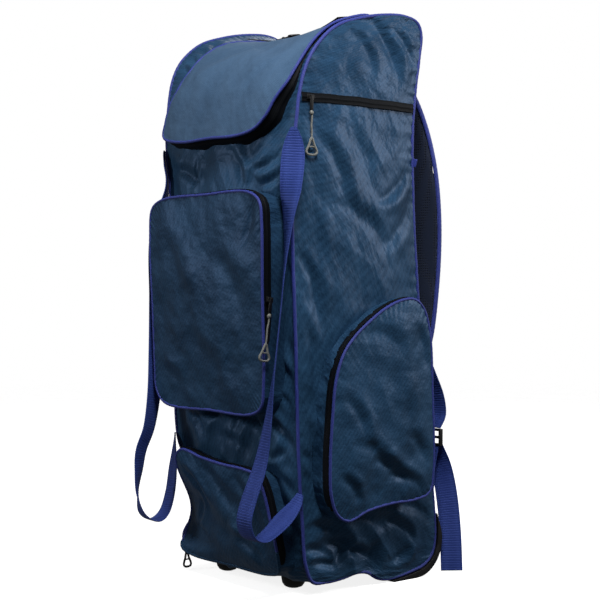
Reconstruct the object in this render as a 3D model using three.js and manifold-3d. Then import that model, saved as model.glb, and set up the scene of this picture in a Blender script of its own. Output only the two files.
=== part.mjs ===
import * as THREE from 'three';
import { mergeVertices } from 'three/addons/utils/BufferGeometryUtils.js';
import Module from 'manifold-3d';

const wasm = await Module();
wasm.setup();

// Driving sizes of the standing bag, in millimetres. Front is -Y, the wearer's back is +Y, right is +X.
const bag_width = 336;
const bag_depth = 280;
const bag_height = 960;

// Cloth, piping and webbing.
const cloth = 2;
const touch = 0.3;
const rest_gap = 0.5;
const zip_gap = 1;
const cut_tolerance = 0.3;
const piping_radius = 3;
const pocket_piping_radius = 2.5;
const webbing_width = 38;
const webbing_thickness = 2.4;
const zip_width = 15;
const zip_thickness = 1.4;

// Lid over the mouth: its zip band is tall at the front and dies away at the back.
const lid_height = 26;
const lid_back_height = 8;
const lid_middle_height = 13;
const lid_crown = 6;
const mouth_share = 0.84;

// Pockets: how far the face stands off the panel behind it, and how far it swells.
const front_pocket_depth = 30;
const front_pocket_crown = 7;
const lower_pocket_depth = 27;
const lower_pocket_crown = 6;
const side_pocket_depth = 34;
const side_pocket_crown = 9;

// Where the packed bag bulges at the top left, and where its empty front left corner caves in.
const left_bulge = 24;
const left_lean = 12;
const left_rise = 13;
const corner_dent = 40;
const corner_dent_reach = 60;
const pocket_dent = 26;
const pocket_dent_reach = 70;
const corner_bulge = 13;
const corner_bulge_reach = 42;

// Padded shoulder straps.
const pad_width = 64;
const pad_thickness = 12;
const binding_radius = 3;
const lock_height = 30;
const lock_thickness = 8;
const lock_bar = 4;

// Base tray, feet, skid and wheels.
const tray_wall = 4;
const tray_underside = 27;
const foot_radius = 21;
const foot_flat = 9;
const foot_spread = 90;
const foot_setback = 25;
const skid_radius = 34;
const skid_underside = 13;
const guard_radius = 62;
const guard_width = 28;
const wheel_radius = 36;
const wheel_width = 24;
const wheel_overhang = 3;
const wheel_inset = 39;
const wheel_side_play = 1.5;
const wheel_rim_play = 4;
const housing_wall = 3.5;
const axle_radius = 4;
const axle_play = 0.3;

// Zip sliders and moulded pulls.
const slider_length = 13;
const slider_width = 9;
const slider_height = 5;
const tab_length = 22;
const tab_width = 6;
const tab_thickness = 1.6;
const pull_neck = 42;
const pull_neck_radius = 1.5;
const pull_ring_radius = 1.9;
const pull_ring_size = 24;
const knot_radius = 3.6;

const finish = (name, color, roughness, metalness = 0) =>
  new THREE.MeshStandardMaterial({ name, color, roughness, metalness });
const navy = finish('navy_polyester', 0x223d58, 0.85);
const lid_navy = finish('navy_lid_polyester', 0x3f566e, 0.85);
const deep_navy = finish('deep_navy_polyester', 0x1a2f47, 0.85);
const blue_piping = finish('blue_piping', 0x3b4699, 0.7);
const blue_webbing = finish('blue_webbing', 0x33447f, 0.8);
const black_zip = finish('black_zip', 0x0b1016, 0.7);
const black_mesh = finish('black_spacer_mesh', 0x121a2d, 0.95);
const black_plastic = finish('black_moulded_plastic', 0x111113, 0.5);
const black_rubber = finish('black_wheel_rubber', 0x17171a, 0.8);
const grey_pull = finish('grey_moulded_pull', 0x8e8f88, 0.6);
const bright_metal = finish('bright_metal', 0xb9bab4, 0.35, 0.9);

const bag = new THREE.Group();

function add(name, geometry, material) {
  const mesh = new THREE.Mesh(geometry, material);
  mesh.name = name;
  bag.add(mesh);
}

// A cloth piece of the bag itself follows the way that the packed bag settles.
const add_cloth = (name, geometry, material) => add(name, bend(geometry, settle), material);

// Geometry helpers: a welded copy, a class geometry bent onto a surface, and cuts and joins.
function weld(geometry) {
  const bare = geometry.clone();
  bare.deleteAttribute('normal');
  bare.deleteAttribute('uv');
  const welded = mergeVertices(bare, 1e-5);
  const kept = [];
  for (let i = 0; i < welded.index.count; i += 3) {
    const [a, b, c] = [0, 1, 2].map((k) => welded.index.getX(i + k));
    if (a !== b && b !== c && c !== a) {
      kept.push(a, b, c);
    }
  }
  return welded.setIndex(kept);
}

function signed_volume(geometry) {
  const places = geometry.getAttribute('position');
  const corner = [0, 1, 2].map(() => new THREE.Vector3());
  let total = 0;
  for (let i = 0; i < geometry.index.count; i += 3) {
    corner.forEach((point, k) => point.fromBufferAttribute(places, geometry.index.getX(i + k)));
    total += corner[0].dot(corner[1].clone().cross(corner[2])) / 6;
  }
  return total;
}

function bend(geometry, move) {
  const bent = weld(geometry);
  const places = bent.getAttribute('position');
  const point = new THREE.Vector3();
  for (let i = 0; i < places.count; i += 1) {
    const moved = move(point.fromBufferAttribute(places, i));
    places.setXYZ(i, moved.x, moved.y, moved.z);
  }
  if (signed_volume(bent) < 0) {
    const order = bent.index.array;
    for (let i = 0; i < order.length; i += 3) {
      [order[i + 1], order[i + 2]] = [order[i + 2], order[i + 1]];
    }
  }
  return bent;
}

function to_solid(geometry) {
  const welded = weld(geometry);
  return new wasm.Manifold(new wasm.Mesh({
    numProp: 3,
    vertProperties: new Float32Array(welded.getAttribute('position').array),
    triVerts: new Uint32Array(welded.index.array),
  }));
}

function from_solid(solid) {
  const mesh = solid.getMesh();
  const geometry = new THREE.BufferGeometry();
  geometry.setAttribute('position', new THREE.BufferAttribute(mesh.vertProperties, 3));
  geometry.setIndex(new THREE.BufferAttribute(mesh.triVerts, 1));
  return geometry;
}

function cut(geometry, ...tools) {
  const left_over = tools.reduce((solid, tool) => solid.subtract(to_solid(tool)), to_solid(geometry));
  return from_solid(left_over.simplify(cut_tolerance));
}

function join(...geometries) {
  return from_solid(geometries.map(to_solid).reduce((all, one) => all.add(one)));
}

function common(geometry, other) {
  return from_solid(to_solid(geometry).intersect(to_solid(other)));
}

// The chosen squares are split along their other diagonal, so that both sides of a thin wall bend alike.
const square_indices = 6;
function other_diagonals(geometry, chosen) {
  const order = geometry.index.array;
  for (let square = 0; square * square_indices < order.length; square += 1) {
    if (chosen(square)) {
      const [a, b, d, ...next] = order.slice(square * square_indices, (square + 1) * square_indices);
      const c = next.find((corner) => corner !== b && corner !== d);
      order.set([a, b, c, a, c, d], square * square_indices);
    }
  }
  return geometry;
}

// A sheet of cloth: a thin box whose length and width are bent onto place(u, v, w), w from inside to outside.
function sheet(cols, rows, place) {
  const box = new THREE.BoxGeometry(1, 1, 1, cols, rows, 1);
  const inner_from = box.groups[box.groups.length - 1].start / square_indices;
  return bend(other_diagonals(box, (square) => square >= inner_from), (p) => place(p.x + 0.5, p.y + 0.5, p.z + 0.5));
}

// A closed band: a torus whose round section becomes the corners given by place(t, corner).
function ring(steps, sides, place) {
  const band = other_diagonals(new THREE.TorusGeometry(2, 1, sides, steps), (square) => square >= (sides * steps) / 2);
  return bend(band, (p) => {
    const turn = Math.round((Math.atan2(p.y, p.x) / (2 * Math.PI)) * steps);
    const around = Math.round((Math.atan2(p.z, Math.hypot(p.x, p.y) - 2) / (2 * Math.PI)) * sides);
    return place(((turn + steps) % steps) / steps, (around + sides) % sides);
  });
}

// An open strip: a cylinder whose length follows t, with flat ends.
function strip(steps, sides, place) {
  const far_half = (square) => square >= (sides * steps) / 2 && square < sides * steps;
  return bend(other_diagonals(new THREE.CylinderGeometry(1, 1, 1, sides, steps), far_half), (p) => {
    const t = p.y + 0.5;
    if (Math.hypot(p.x, p.z) < 0.5) {
      const middle = new THREE.Vector3();
      for (let k = 0; k < sides; k += 1) {
        middle.addScaledVector(place(t, k), 1 / sides);
      }
      return middle;
    }
    const around = Math.round((Math.atan2(p.x, p.z) / (2 * Math.PI)) * sides);
    return place(t, (around + sides) % sides);
  });
}

// A swelling face: a lathed disc whose rings follow place(t, share, w), share from the middle to the edge.
function dome(steps, rings, place) {
  const profile = [];
  for (let k = 0; k <= rings; k += 1) {
    profile.push(new THREE.Vector2(k / rings, 0));
  }
  for (let k = rings; k >= 0; k -= 1) {
    profile.push(new THREE.Vector2(k / rings, 1));
  }
  const outer_half = (square) => square % (profile.length - 1) > rings;
  return bend(other_diagonals(new THREE.LatheGeometry(profile, steps), outer_half), (p) => {
    const share = Math.hypot(p.x, p.z);
    const turn = share < 1e-6 ? 0 : Math.round((Math.atan2(p.x, p.z) / (2 * Math.PI)) * steps);
    return place(((turn + steps) % steps) / steps, share, p.y);
  });
}

const corner_signs = [[1, 1], [-1, 1], [-1, -1], [1, -1]];

// Columns of a table as smooth functions of t, from its first row to its last.
function track(rows) {
  const keys = Object.keys(rows[0]);
  return (t) => {
    const at = THREE.MathUtils.clamp(t, 0, 1) * (rows.length - 1);
    const k = Math.min(Math.floor(at), rows.length - 2);
    const w = at - k;
    const value = {};
    for (const key of keys) {
      const [a, b, c, d] = [k - 1, k, k + 1, k + 2].map(
        (i) => rows[THREE.MathUtils.clamp(i, 0, rows.length - 1)][key],
      );
      const slope_b = (c - a) / 2;
      const slope_c = (d - b) / 2;
      value[key] = b + slope_b * w + (3 * (c - b) - 2 * slope_b - slope_c) * w ** 2
        + (2 * (b - c) + slope_b + slope_c) * w ** 3;
    }
    return value;
  };
}

// Side seam, from the front bottom corner up the front, over the top, down the back and along the hem.
// out and crown are shares of the depth, up is a share of the height; crown is how far the panel between
// the two side seams swells out there, or sags if it is below nought.
const seam_rows = [
  { out: -0.357, up: 0.025, crown: 0.01 },
  { out: -0.407, up: 0.052, crown: 0.03 },
  { out: -0.432, up: 0.120, crown: 0.05 },
  { out: -0.464, up: 0.250, crown: 0.06 },
  { out: -0.482, up: 0.417, crown: 0.065 },
  { out: -0.507, up: 0.599, crown: 0.07 },
  { out: -0.507, up: 0.729, crown: 0.07 },
  { out: -0.480, up: 0.797, crown: 0.065 },
  { out: -0.454, up: 0.849, crown: 0.045 },
  { out: -0.404, up: 0.893, crown: 0.005 },
  { out: -0.314, up: 0.932, crown: -0.035 },
  { out: -0.171, up: 0.966, crown: -0.080 },
  { out: 0.021, up: 0.986, crown: -0.125 },
  { out: 0.221, up: 0.998, crown: -0.160 },
  { out: 0.393, up: 1.001, crown: -0.165 },
  { out: 0.493, up: 0.993, crown: -0.12 },
  { out: 0.525, up: 0.971, crown: -0.055 },
  { out: 0.507, up: 0.927, crown: -0.01 },
  { out: 0.475, up: 0.870, crown: 0.01 },
  { out: 0.450, up: 0.790, crown: 0.02 },
  { out: 0.457, up: 0.667, crown: 0.025 },
  { out: 0.496, up: 0.510, crown: 0.025 },
  { out: 0.554, up: 0.344, crown: 0.02 },
  { out: 0.607, up: 0.198, crown: 0.01 },
  { out: 0.640, up: 0.110, crown: 0.005 },
  { out: 0.646, up: 0.066, crown: 0 },
  { out: 0.620, up: 0.038, crown: 0 },
  { out: 0.550, up: 0.021, crown: 0 },
  { out: 0.446, up: 0.0135, crown: 0 },
  { out: 0.329, up: 0.0085, crown: 0 },
  { out: 0.221, up: 0.0075, crown: 0 },
  { out: 0.150, up: 0.0125, crown: 0 },
  { out: 0.079, up: 0.024, crown: 0 },
  { out: 0, up: 0.028, crown: 0 },
  { out: -0.125, up: 0.023, crown: 0 },
  { out: -0.250, up: 0.021, crown: 0 },
];
const front_hem_row = 0;
const front_top_row = 6.5;
const apex_front_row = 13;
const apex_back_row = 15;
const back_top_row = 16;
const back_hem_row = 28;
const last_row = seam_rows.length;

const seam = new THREE.CatmullRomCurve3(
  seam_rows.map((row) => new THREE.Vector3(0, row.out * bag_depth, row.up * bag_height)),
  true,
  'centripetal',
);
const half = bag_width / 2;

const seam_point = (row) => seam.getPoint(((row / last_row) % 1 + 1) % 1);

// How the packed bag settles: every cloth piece is moved by this one smooth field.
const bulge_from = 0.69 * bag_height;
const bulge_to = 0.81 * bag_height;
const rise_from = 0.80 * bag_height;
const rise_to = 0.94 * bag_height;
const slack_from = tray_underside + tray_wall;
const slack_to = 0.07 * bag_height;
const dent_centre = new THREE.Vector3(-half, -0.45 * bag_depth, 0.140 * bag_height);
const dent_push = new THREE.Vector3(0.5, 0.85, 0).normalize();
const pocket_dent_centre = new THREE.Vector3(-0.34 * bag_width, -0.6 * bag_depth, 0.085 * bag_height);
const backwards = new THREE.Vector3(0, 1, 0);
const bulge_centre = new THREE.Vector3(-half, -0.38 * bag_depth, 0.062 * bag_height);
const bulge_push = new THREE.Vector3(-0.75, -0.65, 0);

function settle(point) {
  const upper = THREE.MathUtils.smoothstep(point.z, bulge_from, bulge_to);
  const top = THREE.MathUtils.smoothstep(point.z, rise_from, rise_to);
  const leftward = THREE.MathUtils.smoothstep(-point.x, -0.2 * half, half);
  const slack = THREE.MathUtils.smoothstep(point.z, slack_from, slack_to);
  const near = (centre, reach) => Math.exp(-((point.distanceTo(centre) / reach) ** 2));
  const corner_push = corner_dent * near(dent_centre, corner_dent_reach);
  const pocket_push = pocket_dent * near(pocket_dent_centre, pocket_dent_reach);
  const corner_swell = corner_bulge * near(bulge_centre, corner_bulge_reach);
  point.x -= left_bulge * upper * leftward;
  point.y -= left_lean * top * leftward;
  point.z += left_rise * top * leftward;
  point.addScaledVector(dent_push, slack * corner_push).addScaledVector(backwards, slack * pocket_push);
  return point.addScaledVector(bulge_push, slack * corner_swell);
}

// Rows of the side seam where the panels and the piping have a vertex: more on the left, where it caves in.
const even_rows = (from, to) => Array.from({ length: to - from + 1 }, (_, i) => from + i);
const right_rows = [0, 0.5, 1, 1.5, 2, 2.5, ...even_rows(3, 13)];
const left_rows = [0, 0.5, 1, 1.5, 2, 2.5, 3, 3.5, 4, 5, 5.5, 6, 6.5, 7, 7.5, ...even_rows(8, 13)];

function seam_out(row) {
  const step = 0.01;
  const along = seam_point(row + step).sub(seam_point(row - step)).normalize();
  return new THREE.Vector3(0, -along.z, along.y);
}

function crown_at(row) {
  const before = Math.floor(row);
  const from = seam_rows[before % last_row].crown;
  const to = seam_rows[(before + 1) % last_row].crown;
  return bag_depth * THREE.MathUtils.lerp(from, to, row - before);
}

// A point of the panel that wraps round the bag between the side seams, lifted off its middle surface.
function wrap_point(x, row, lift = 0) {
  const swell = crown_at(row) * (1 - (x / half) ** 2);
  return seam_point(row).addScaledVector(seam_out(row), swell + lift).setX(x);
}

function row_where(measure, target, from, to) {
  let low = from;
  let high = to;
  for (let i = 0; i < 26; i += 1) {
    const middle = (low + high) / 2;
    if (measure(middle) < target) {
      low = middle;
    } else {
      high = middle;
    }
  }
  return (low + high) / 2;
}

const front_row = (x, z) => row_where((row) => wrap_point(x, row).z, z, front_hem_row, apex_front_row);

// Outside of the front panel, as a distance forward of the middle plane.
const front_reach = (x, z) => -wrap_point(x, front_row(x, z)).y + cloth / 2;

// Side panels swell between the front and back seams.
const side_rows = [
  { swell: 0.008 },
  { swell: 0.030 },
  { swell: 0.040 },
  { swell: 0.045 },
  { swell: 0.045 },
  { swell: 0.040 },
  { swell: 0.036 },
  { swell: 0.030 },
  { swell: 0.012 },
];
const side_swell = track(side_rows);

// Folds of the right side panel: a crease from one point to another, as shares of the depth and height.
const side_folds = [
  { out0: -0.36, up0: 0.70, out1: -0.33, up1: 0.16, deep: 0.020, wide: 0.055 },
  { out0: -0.30, up0: 0.10, out1: 0.10, up1: 0.065, deep: 0.018, wide: 0.05 },
  { out0: -0.10, up0: 0.78, out1: 0.25, up1: 0.70, deep: 0.010, wide: 0.07 },
  { out0: 0.10, up0: 0.10, out1: 0.45, up1: 0.17, deep: 0.010, wide: 0.06 },
];
const front_folds = [
  { out0: -0.30, up0: 0.745, out1: -0.14, up1: 0.71, deep: 0.014, wide: 0.05 },
  { out0: 0.20, up0: 0.75, out1: 0.30, up1: 0.66, deep: 0.016, wide: 0.06 },
];

function fold_depth(folds, width, a, z) {
  let depth = 0;
  for (const fold of folds) {
    const from = new THREE.Vector2(fold.out0 * width, fold.up0 * bag_height);
    const to = new THREE.Vector2(fold.out1 * width, fold.up1 * bag_height);
    const line = to.clone().sub(from);
    const here = new THREE.Vector2(a, z).sub(from);
    const share = THREE.MathUtils.clamp(here.dot(line) / line.lengthSq(), 0, 1);
    const away = here.addScaledVector(line, -share).length() / (fold.wide * width);
    depth += fold.deep * width * Math.exp(-(away ** 2));
  }
  return depth;
}

const front_seam_y = (z) => seam_point(row_where((row) => seam_point(row).z, z, front_hem_row, apex_front_row + 1)).y;
const back_seam_y = (z) => seam_point(row_where((row) => -seam_point(row).z, -z, apex_back_row - 1, back_hem_row)).y;

// Outside of a side panel, as a distance from the middle plane.
function side_reach(y, z) {
  const front = front_seam_y(z);
  const back = back_seam_y(z);
  const across = THREE.MathUtils.clamp((2 * (y - front)) / (back - front) - 1, -1, 1);
  const swell = side_swell(z / bag_height).swell * bag_width * (1 - across ** 2);
  const crease = fold_depth(side_folds, bag_depth, y, z) * (1 - across ** 2);
  return half + swell - crease + cloth / 2;
}

// Body panels. The side panels' edges stop short of the piping, and so do the wrapping panels'.
const seam_inset = piping_radius + 2 * touch;

function side_panel_point(u, v) {
  const edge = (row) => seam_point(row).addScaledVector(seam_out(row), -seam_inset);
  const front = edge(v * apex_front_row);
  const back = edge(back_hem_row - v * (back_hem_row - apex_back_row));
  const hem = edge(last_row - u * (last_row - back_hem_row));
  const top = edge(apex_front_row + u * (apex_back_row - apex_front_row));
  const hem_ends = [edge(0), edge(back_hem_row)];
  const top_ends = [edge(apex_front_row), edge(apex_back_row)];
  const ruled = front.multiplyScalar(1 - u).addScaledVector(back, u);
  ruled.addScaledVector(hem, 1 - v).addScaledVector(top, v);
  ruled.addScaledVector(hem_ends[0], -(1 - u) * (1 - v)).addScaledVector(hem_ends[1], -u * (1 - v));
  return ruled.addScaledVector(top_ends[0], -(1 - u) * v).addScaledVector(top_ends[1], -u * v);
}

const at_share = (list, share) => list[Math.round(share * (list.length - 1))];

function side_panel(side, cols, rows, inner = -cloth, outer = 0) {
  return sheet(cols, rows.length - 1, (u, v, w) => {
    const point = side_panel_point(u, at_share(rows, v) / apex_front_row);
    const reach = side_reach(point.y, point.z) + THREE.MathUtils.lerp(inner, outer, w);
    return point.setX(side * reach);
  });
}

const wrap_half = half - seam_inset;

function wrap_panel(cols, rows, folds = [], inner = -cloth / 2, outer = cloth / 2) {
  return sheet(cols, rows.length - 1, (u, v, w) => {
    const x = THREE.MathUtils.lerp(-wrap_half, wrap_half, u);
    const row = at_share(rows, v);
    const z = seam_point(row).z;
    const crease = folds.length ? fold_depth(folds, bag_width, x, z) : 0;
    return wrap_point(x, row, THREE.MathUtils.lerp(inner, outer, w) - crease);
  });
}

const sew_gap_rows = 0.012;
const front_rows = [...left_rows.filter((row) => row < front_top_row), front_top_row];
const top_rows = [
  front_top_row + sew_gap_rows,
  7,
  7.5,
  ...even_rows(8, back_top_row - 1),
  back_top_row - sew_gap_rows,
];
const front_cols = 8;
const top_cols = 6;
const right_cols = 6;
const left_cols = 6;
add_cloth('front_panel', wrap_panel(front_cols, front_rows, front_folds), navy);
add_cloth('right_side_panel', side_panel(1, right_cols, right_rows), navy);
add_cloth('left_side_panel', side_panel(-1, left_cols, left_rows), navy);

// What is sewn on a panel ends on its outer face: the bed is that panel, thick inwards and a little outwards.
const bed_depth = 12;
const bed_rise = cloth / 2 + rest_gap;
const settled = (geometry) => bend(geometry, settle);
const front_bed = settled(wrap_panel(front_cols, front_rows, front_folds, -bed_depth, bed_rise));
const top_bed = settled(wrap_panel(top_cols, top_rows, [], -bed_depth, bed_rise));
const right_bed = settled(side_panel(1, right_cols, right_rows, -bed_depth, rest_gap));

// Lid: its outline, as shares of the half width and as rows of the side seam.
const lid_outline = [
  { across: 0, row: 6.62 },
  { across: 0.38, row: 6.61 },
  { across: 0.60, row: 6.72 },
  { across: 0.75, row: 7.05 },
  { across: 0.84, row: 7.62 },
  { across: 0.93, row: 8.20 },
  { across: 0.95, row: 9.60 },
  { across: 0.95, row: 11.10 },
  { across: 0.92, row: 12.60 },
  { across: 0.60, row: 13.45 },
  { across: 0.10, row: 13.55 },
  { across: -0.30, row: 13.45 },
  { across: -0.56, row: 13.05 },
  { across: -0.66, row: 12.00 },
  { across: -0.66, row: 10.85 },
  { across: -0.68, row: 9.60 },
  { across: -0.72, row: 8.40 },
  { across: -0.785, row: 7.35 },
  { across: -0.77, row: 6.82 },
  { across: -0.42, row: 6.62 },
];
const lid_middle_row = 10.2;
// The zipped front stands tall as far back as the first of these rows, and is down by the second.
const lid_tall_row = 7.1;
const lid_low_row = 9.6;
const lid_curve = new THREE.CatmullRomCurve3(
  lid_outline.map((point) => new THREE.Vector3(point.across, point.row, 0)),
  true,
  'centripetal',
);
const lid_steps = 32;

function lid_point(t, share, lift) {
  const edge = lid_curve.getPoint(t);
  return wrap_point(edge.x * half * share, lid_middle_row + (edge.y - lid_middle_row) * share, lift);
}

// In the plane of the lid, how the edge point moves when it is drawn inwards by a length.
function lid_inset(t, length, lift) {
  const edge = lid_point(t, 1, lift);
  const inward = lid_point(t, 0.97, lift).sub(edge).normalize();
  return edge.addScaledVector(inward, length);
}

const mouth = dome(lid_steps / 2, 3, (t, share, w) => lid_point(t, share * mouth_share, (w - 0.5) * 16 * cloth));
add_cloth('top_panel', cut(wrap_panel(top_cols, top_rows), mouth), navy);

// The lid's middle surface at its edge stands this far off the top panel.
function lid_lift(t) {
  const back_share = THREE.MathUtils.smoothstep(lid_curve.getPoint(t).y, lid_tall_row, lid_low_row);
  return THREE.MathUtils.lerp(lid_height, lid_back_height, back_share) - cloth / 2;
}
const lid_middle_lift = lid_middle_height - cloth / 2;
add_cloth('lid_panel', dome(lid_steps, 2, (t, share, w) => {
  const base = THREE.MathUtils.lerp(lid_middle_lift, lid_lift(t), share);
  const lift = base + lid_crown * (1 - share ** 2) + cloth * (w - 0.5);
  if (share > 0.999) {
    return lid_inset(t, pocket_piping_radius + touch, lift);
  }
  return lid_point(t, share, lift);
}), lid_navy);

function round_ring(steps, sides, radius, centre, across, outwards) {
  return ring(steps, sides, (t, corner) => {
    const angle = (2 * Math.PI * corner) / sides;
    return centre(t)
      .addScaledVector(across(t), radius * Math.cos(angle))
      .addScaledVector(outwards(t), radius * Math.sin(angle));
  });
}

const lid_inward = (t) => lid_point(t, 0.97, lid_lift(t)).sub(lid_point(t, 1, lid_lift(t))).normalize();
const lid_outward = (t) => seam_out(lid_curve.getPoint(t).y);
add_cloth('lid_piping', round_ring(
  lid_steps, 4, pocket_piping_radius, (t) => lid_point(t, 1, lid_lift(t)), lid_inward, lid_outward,
), blue_piping);
const lid_band = ring(lid_steps, 4, (t, corner) => {
  const [inner, upper] = corner_signs[corner];
  const lift = upper > 0 ? lid_lift(t) - pocket_piping_radius - touch : -cloth;
  return lid_inset(t, inner > 0 ? cloth : 0, lift);
});
add('lid_zip_band', cut(settled(lid_band), top_bed), black_zip);

// Piping along both side seams.
const bent_row_degrees = 9;

function piping_rows(front) {
  const back = front.map((row) => back_hem_row - row).reverse();
  const all = [...front, (apex_front_row + apex_back_row) / 2, ...back];
  const tight = [apex_front_row, apex_front_row + 1];
  for (const row of [...tight, ...even_rows(back_hem_row, last_row - 1)]) {
    if (row > back_hem_row) {
      all.push(row);
    }
    if (THREE.MathUtils.radToDeg(seam_out(row).angleTo(seam_out(row + 1))) > bent_row_degrees) {
      all.push(row + 0.5);
    }
  }
  return all.sort((a, b) => a - b);
}
for (const [name, side, front] of [['right_body_piping', 1, right_rows], ['left_body_piping', -1, left_rows]]) {
  const rows = piping_rows(front);
  const row_at = (t) => rows[Math.round(t * rows.length) % rows.length];
  add_cloth(name, round_ring(
    rows.length,
    4,
    piping_radius,
    (t) => seam_point(row_at(t)).setX(side * half),
    () => new THREE.Vector3(side, 0, 0),
    (t) => seam_out(row_at(t)),
  ), blue_piping);
}

// Pockets. A place is given as (a, z) on the panel and a reach out of it.
function pocket(name, spec) {
  const centre = new THREE.Vector2(spec.centre.a, spec.centre.z);
  const outline = new THREE.CatmullRomCurve3(
    spec.rows.map((row) => new THREE.Vector3(row.a * spec.a_size, row.up * bag_height, 0)),
    true,
    'centripetal',
  );
  const edge = (t) => outline.getPoint(t);
  const inward = (t) => {
    const along = edge(t + 0.002).sub(edge(t - 0.002 + (t < 0.002 ? 1 : 0))).normalize();
    const normal = new THREE.Vector2(-along.y, along.x);
    return normal.dot(new THREE.Vector2(centre.x - edge(t).x, centre.y - edge(t).y)) < 0 ? normal.negate() : normal;
  };
  const drawn_in = (t, length) => {
    const step = inward(t).multiplyScalar(length);
    return new THREE.Vector2(edge(t).x + step.x, edge(t).y + step.y);
  };
  const radius = pocket_piping_radius;
  add_cloth(`${name}_face`, dome(spec.steps, spec.rings, (t, share, w) => {
    const rim = drawn_in(t, radius + touch);
    const here = centre.clone().lerp(rim, share);
    const crease = spec.folds ? fold_depth(spec.folds, spec.a_size, here.x, here.y) * (1 - share ** 4) : 0;
    const reach = spec.level(here.x, here.y) + spec.crown * (1 - share ** 2) - crease;
    return spec.place(here.x, here.y, reach - cloth * (1 - w));
  }), spec.cloth);
  add_cloth(`${name}_piping`, ring(spec.steps, 4, (t, corner) => {
    const angle = (2 * Math.PI * corner) / 4;
    const here = drawn_in(t, radius * Math.cos(angle));
    return spec.place(here.x, here.y, spec.level(edge(t).x, edge(t).y) - cloth / 2 + radius * Math.sin(angle));
  }), blue_piping);
  const rim_reach = (t) => spec.level(edge(t).x, edge(t).y) - cloth / 2 - radius - touch;
  const foot_reach = (t) => spec.floor(edge(t).x, edge(t).y) - cloth;
  const gusset = (swelled) => ring(spec.steps, 4, (t, corner) => {
    const [inner, outer] = corner_signs[corner];
    const here = drawn_in(t, inner > 0 ? cloth : -swelled);
    return spec.place(here.x, here.y, outer > 0 ? rim_reach(t) : foot_reach(t));
  });
  add(`${name}_gusset`, cut(settled(gusset(0)), spec.bed), spec.cloth);
  const zip = strip(spec.zip_to - spec.zip_from, 4, (share, corner) => {
    const t = (THREE.MathUtils.lerp(spec.zip_from, spec.zip_to, share) / spec.steps + 1) % 1;
    const [inner, outer] = corner_signs[corner];
    const here = drawn_in(t, inner > 0 ? -zip_gap : -zip_gap - zip_thickness);
    const top = rim_reach(t) - touch;
    return spec.place(here.x, here.y, outer > 0 ? top : top - zip_width);
  });
  add(`${name}_zip`, cut(settled(zip), settled(gusset(touch)), spec.bed), black_zip);
  const on_zip = (t, lift) => {
    const here = drawn_in(t, -2 * zip_gap - zip_thickness - lift);
    return settle(spec.place(here.x, here.y, rim_reach(t) - touch - zip_width / 2));
  };
  return { name, zip_face: (t) => on_zip(t, 0), zip_face_inner: (t) => on_zip(t, -1) };
}

const on_front = (x, z, reach) => new THREE.Vector3(x, -reach, z);
const on_right = (y, z, reach) => new THREE.Vector3(reach, y, z);

// Rows of the pocket outlines: a is a share of the bag's width or depth, up a share of its height.
const front_pocket = pocket('front_pocket', {
  a_size: bag_width,
  rows: [
    { a: 0.425, up: 0.36 },
    { a: 0.440, up: 0.50 },
    { a: 0.452, up: 0.62 },
    { a: 0.435, up: 0.662 },
    { a: 0.36, up: 0.678 },
    { a: 0, up: 0.680 },
    { a: -0.38, up: 0.675 },
    { a: -0.455, up: 0.660 },
    { a: -0.475, up: 0.61 },
    { a: -0.475, up: 0.50 },
    { a: -0.475, up: 0.38 },
    { a: -0.465, up: 0.335 },
    { a: -0.40, up: 0.312 },
    { a: 0, up: 0.307 },
    { a: 0.33, up: 0.308 },
    { a: 0.405, up: 0.322 },
  ],
  centre: { a: 0, z: 0.495 * bag_height },
  steps: 32,
  rings: 2,
  crown: front_pocket_crown,
  level: (x, z) => front_reach(0, z) + front_pocket_depth,
  floor: front_reach,
  place: on_front,
  zip_from: 1,
  zip_to: 15,
  bed: front_bed,
  cloth: deep_navy,
});

const lower_pocket = pocket('lower_pocket', {
  a_size: bag_width,
  rows: [
    { a: 0.435, up: 0.075 },
    { a: 0.410, up: 0.130 },
    { a: 0.375, up: 0.180 },
    { a: 0.330, up: 0.204 },
    { a: 0.240, up: 0.211 },
    { a: 0.060, up: 0.214 },
    { a: -0.110, up: 0.220 },
    { a: -0.280, up: 0.229 },
    { a: -0.345, up: 0.215 },
    { a: -0.375, up: 0.170 },
    { a: -0.400, up: 0.120 },
    { a: -0.420, up: 0.070 },
    { a: -0.395, up: 0.045 },
    { a: -0.300, up: 0.035 },
    { a: 0, up: 0.034 },
    { a: 0.320, up: 0.034 },
    { a: 0.420, up: 0.045 },
  ],
  centre: { a: 0, z: 0.125 * bag_height },
  steps: 32,
  rings: 2,
  crown: lower_pocket_crown,
  level: (x, z) => front_reach(0, z) + lower_pocket_depth,
  floor: front_reach,
  place: on_front,
  zip_from: -1,
  zip_to: 22,
  bed: front_bed,
  cloth: deep_navy,
  folds: [
    { out0: -0.30, up0: 0.15, out1: 0.05, up1: 0.10, deep: 0.02, wide: 0.06 },
    { out0: 0.10, up0: 0.17, out1: 0.34, up1: 0.08, deep: 0.015, wide: 0.05 },
  ],
});

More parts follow.
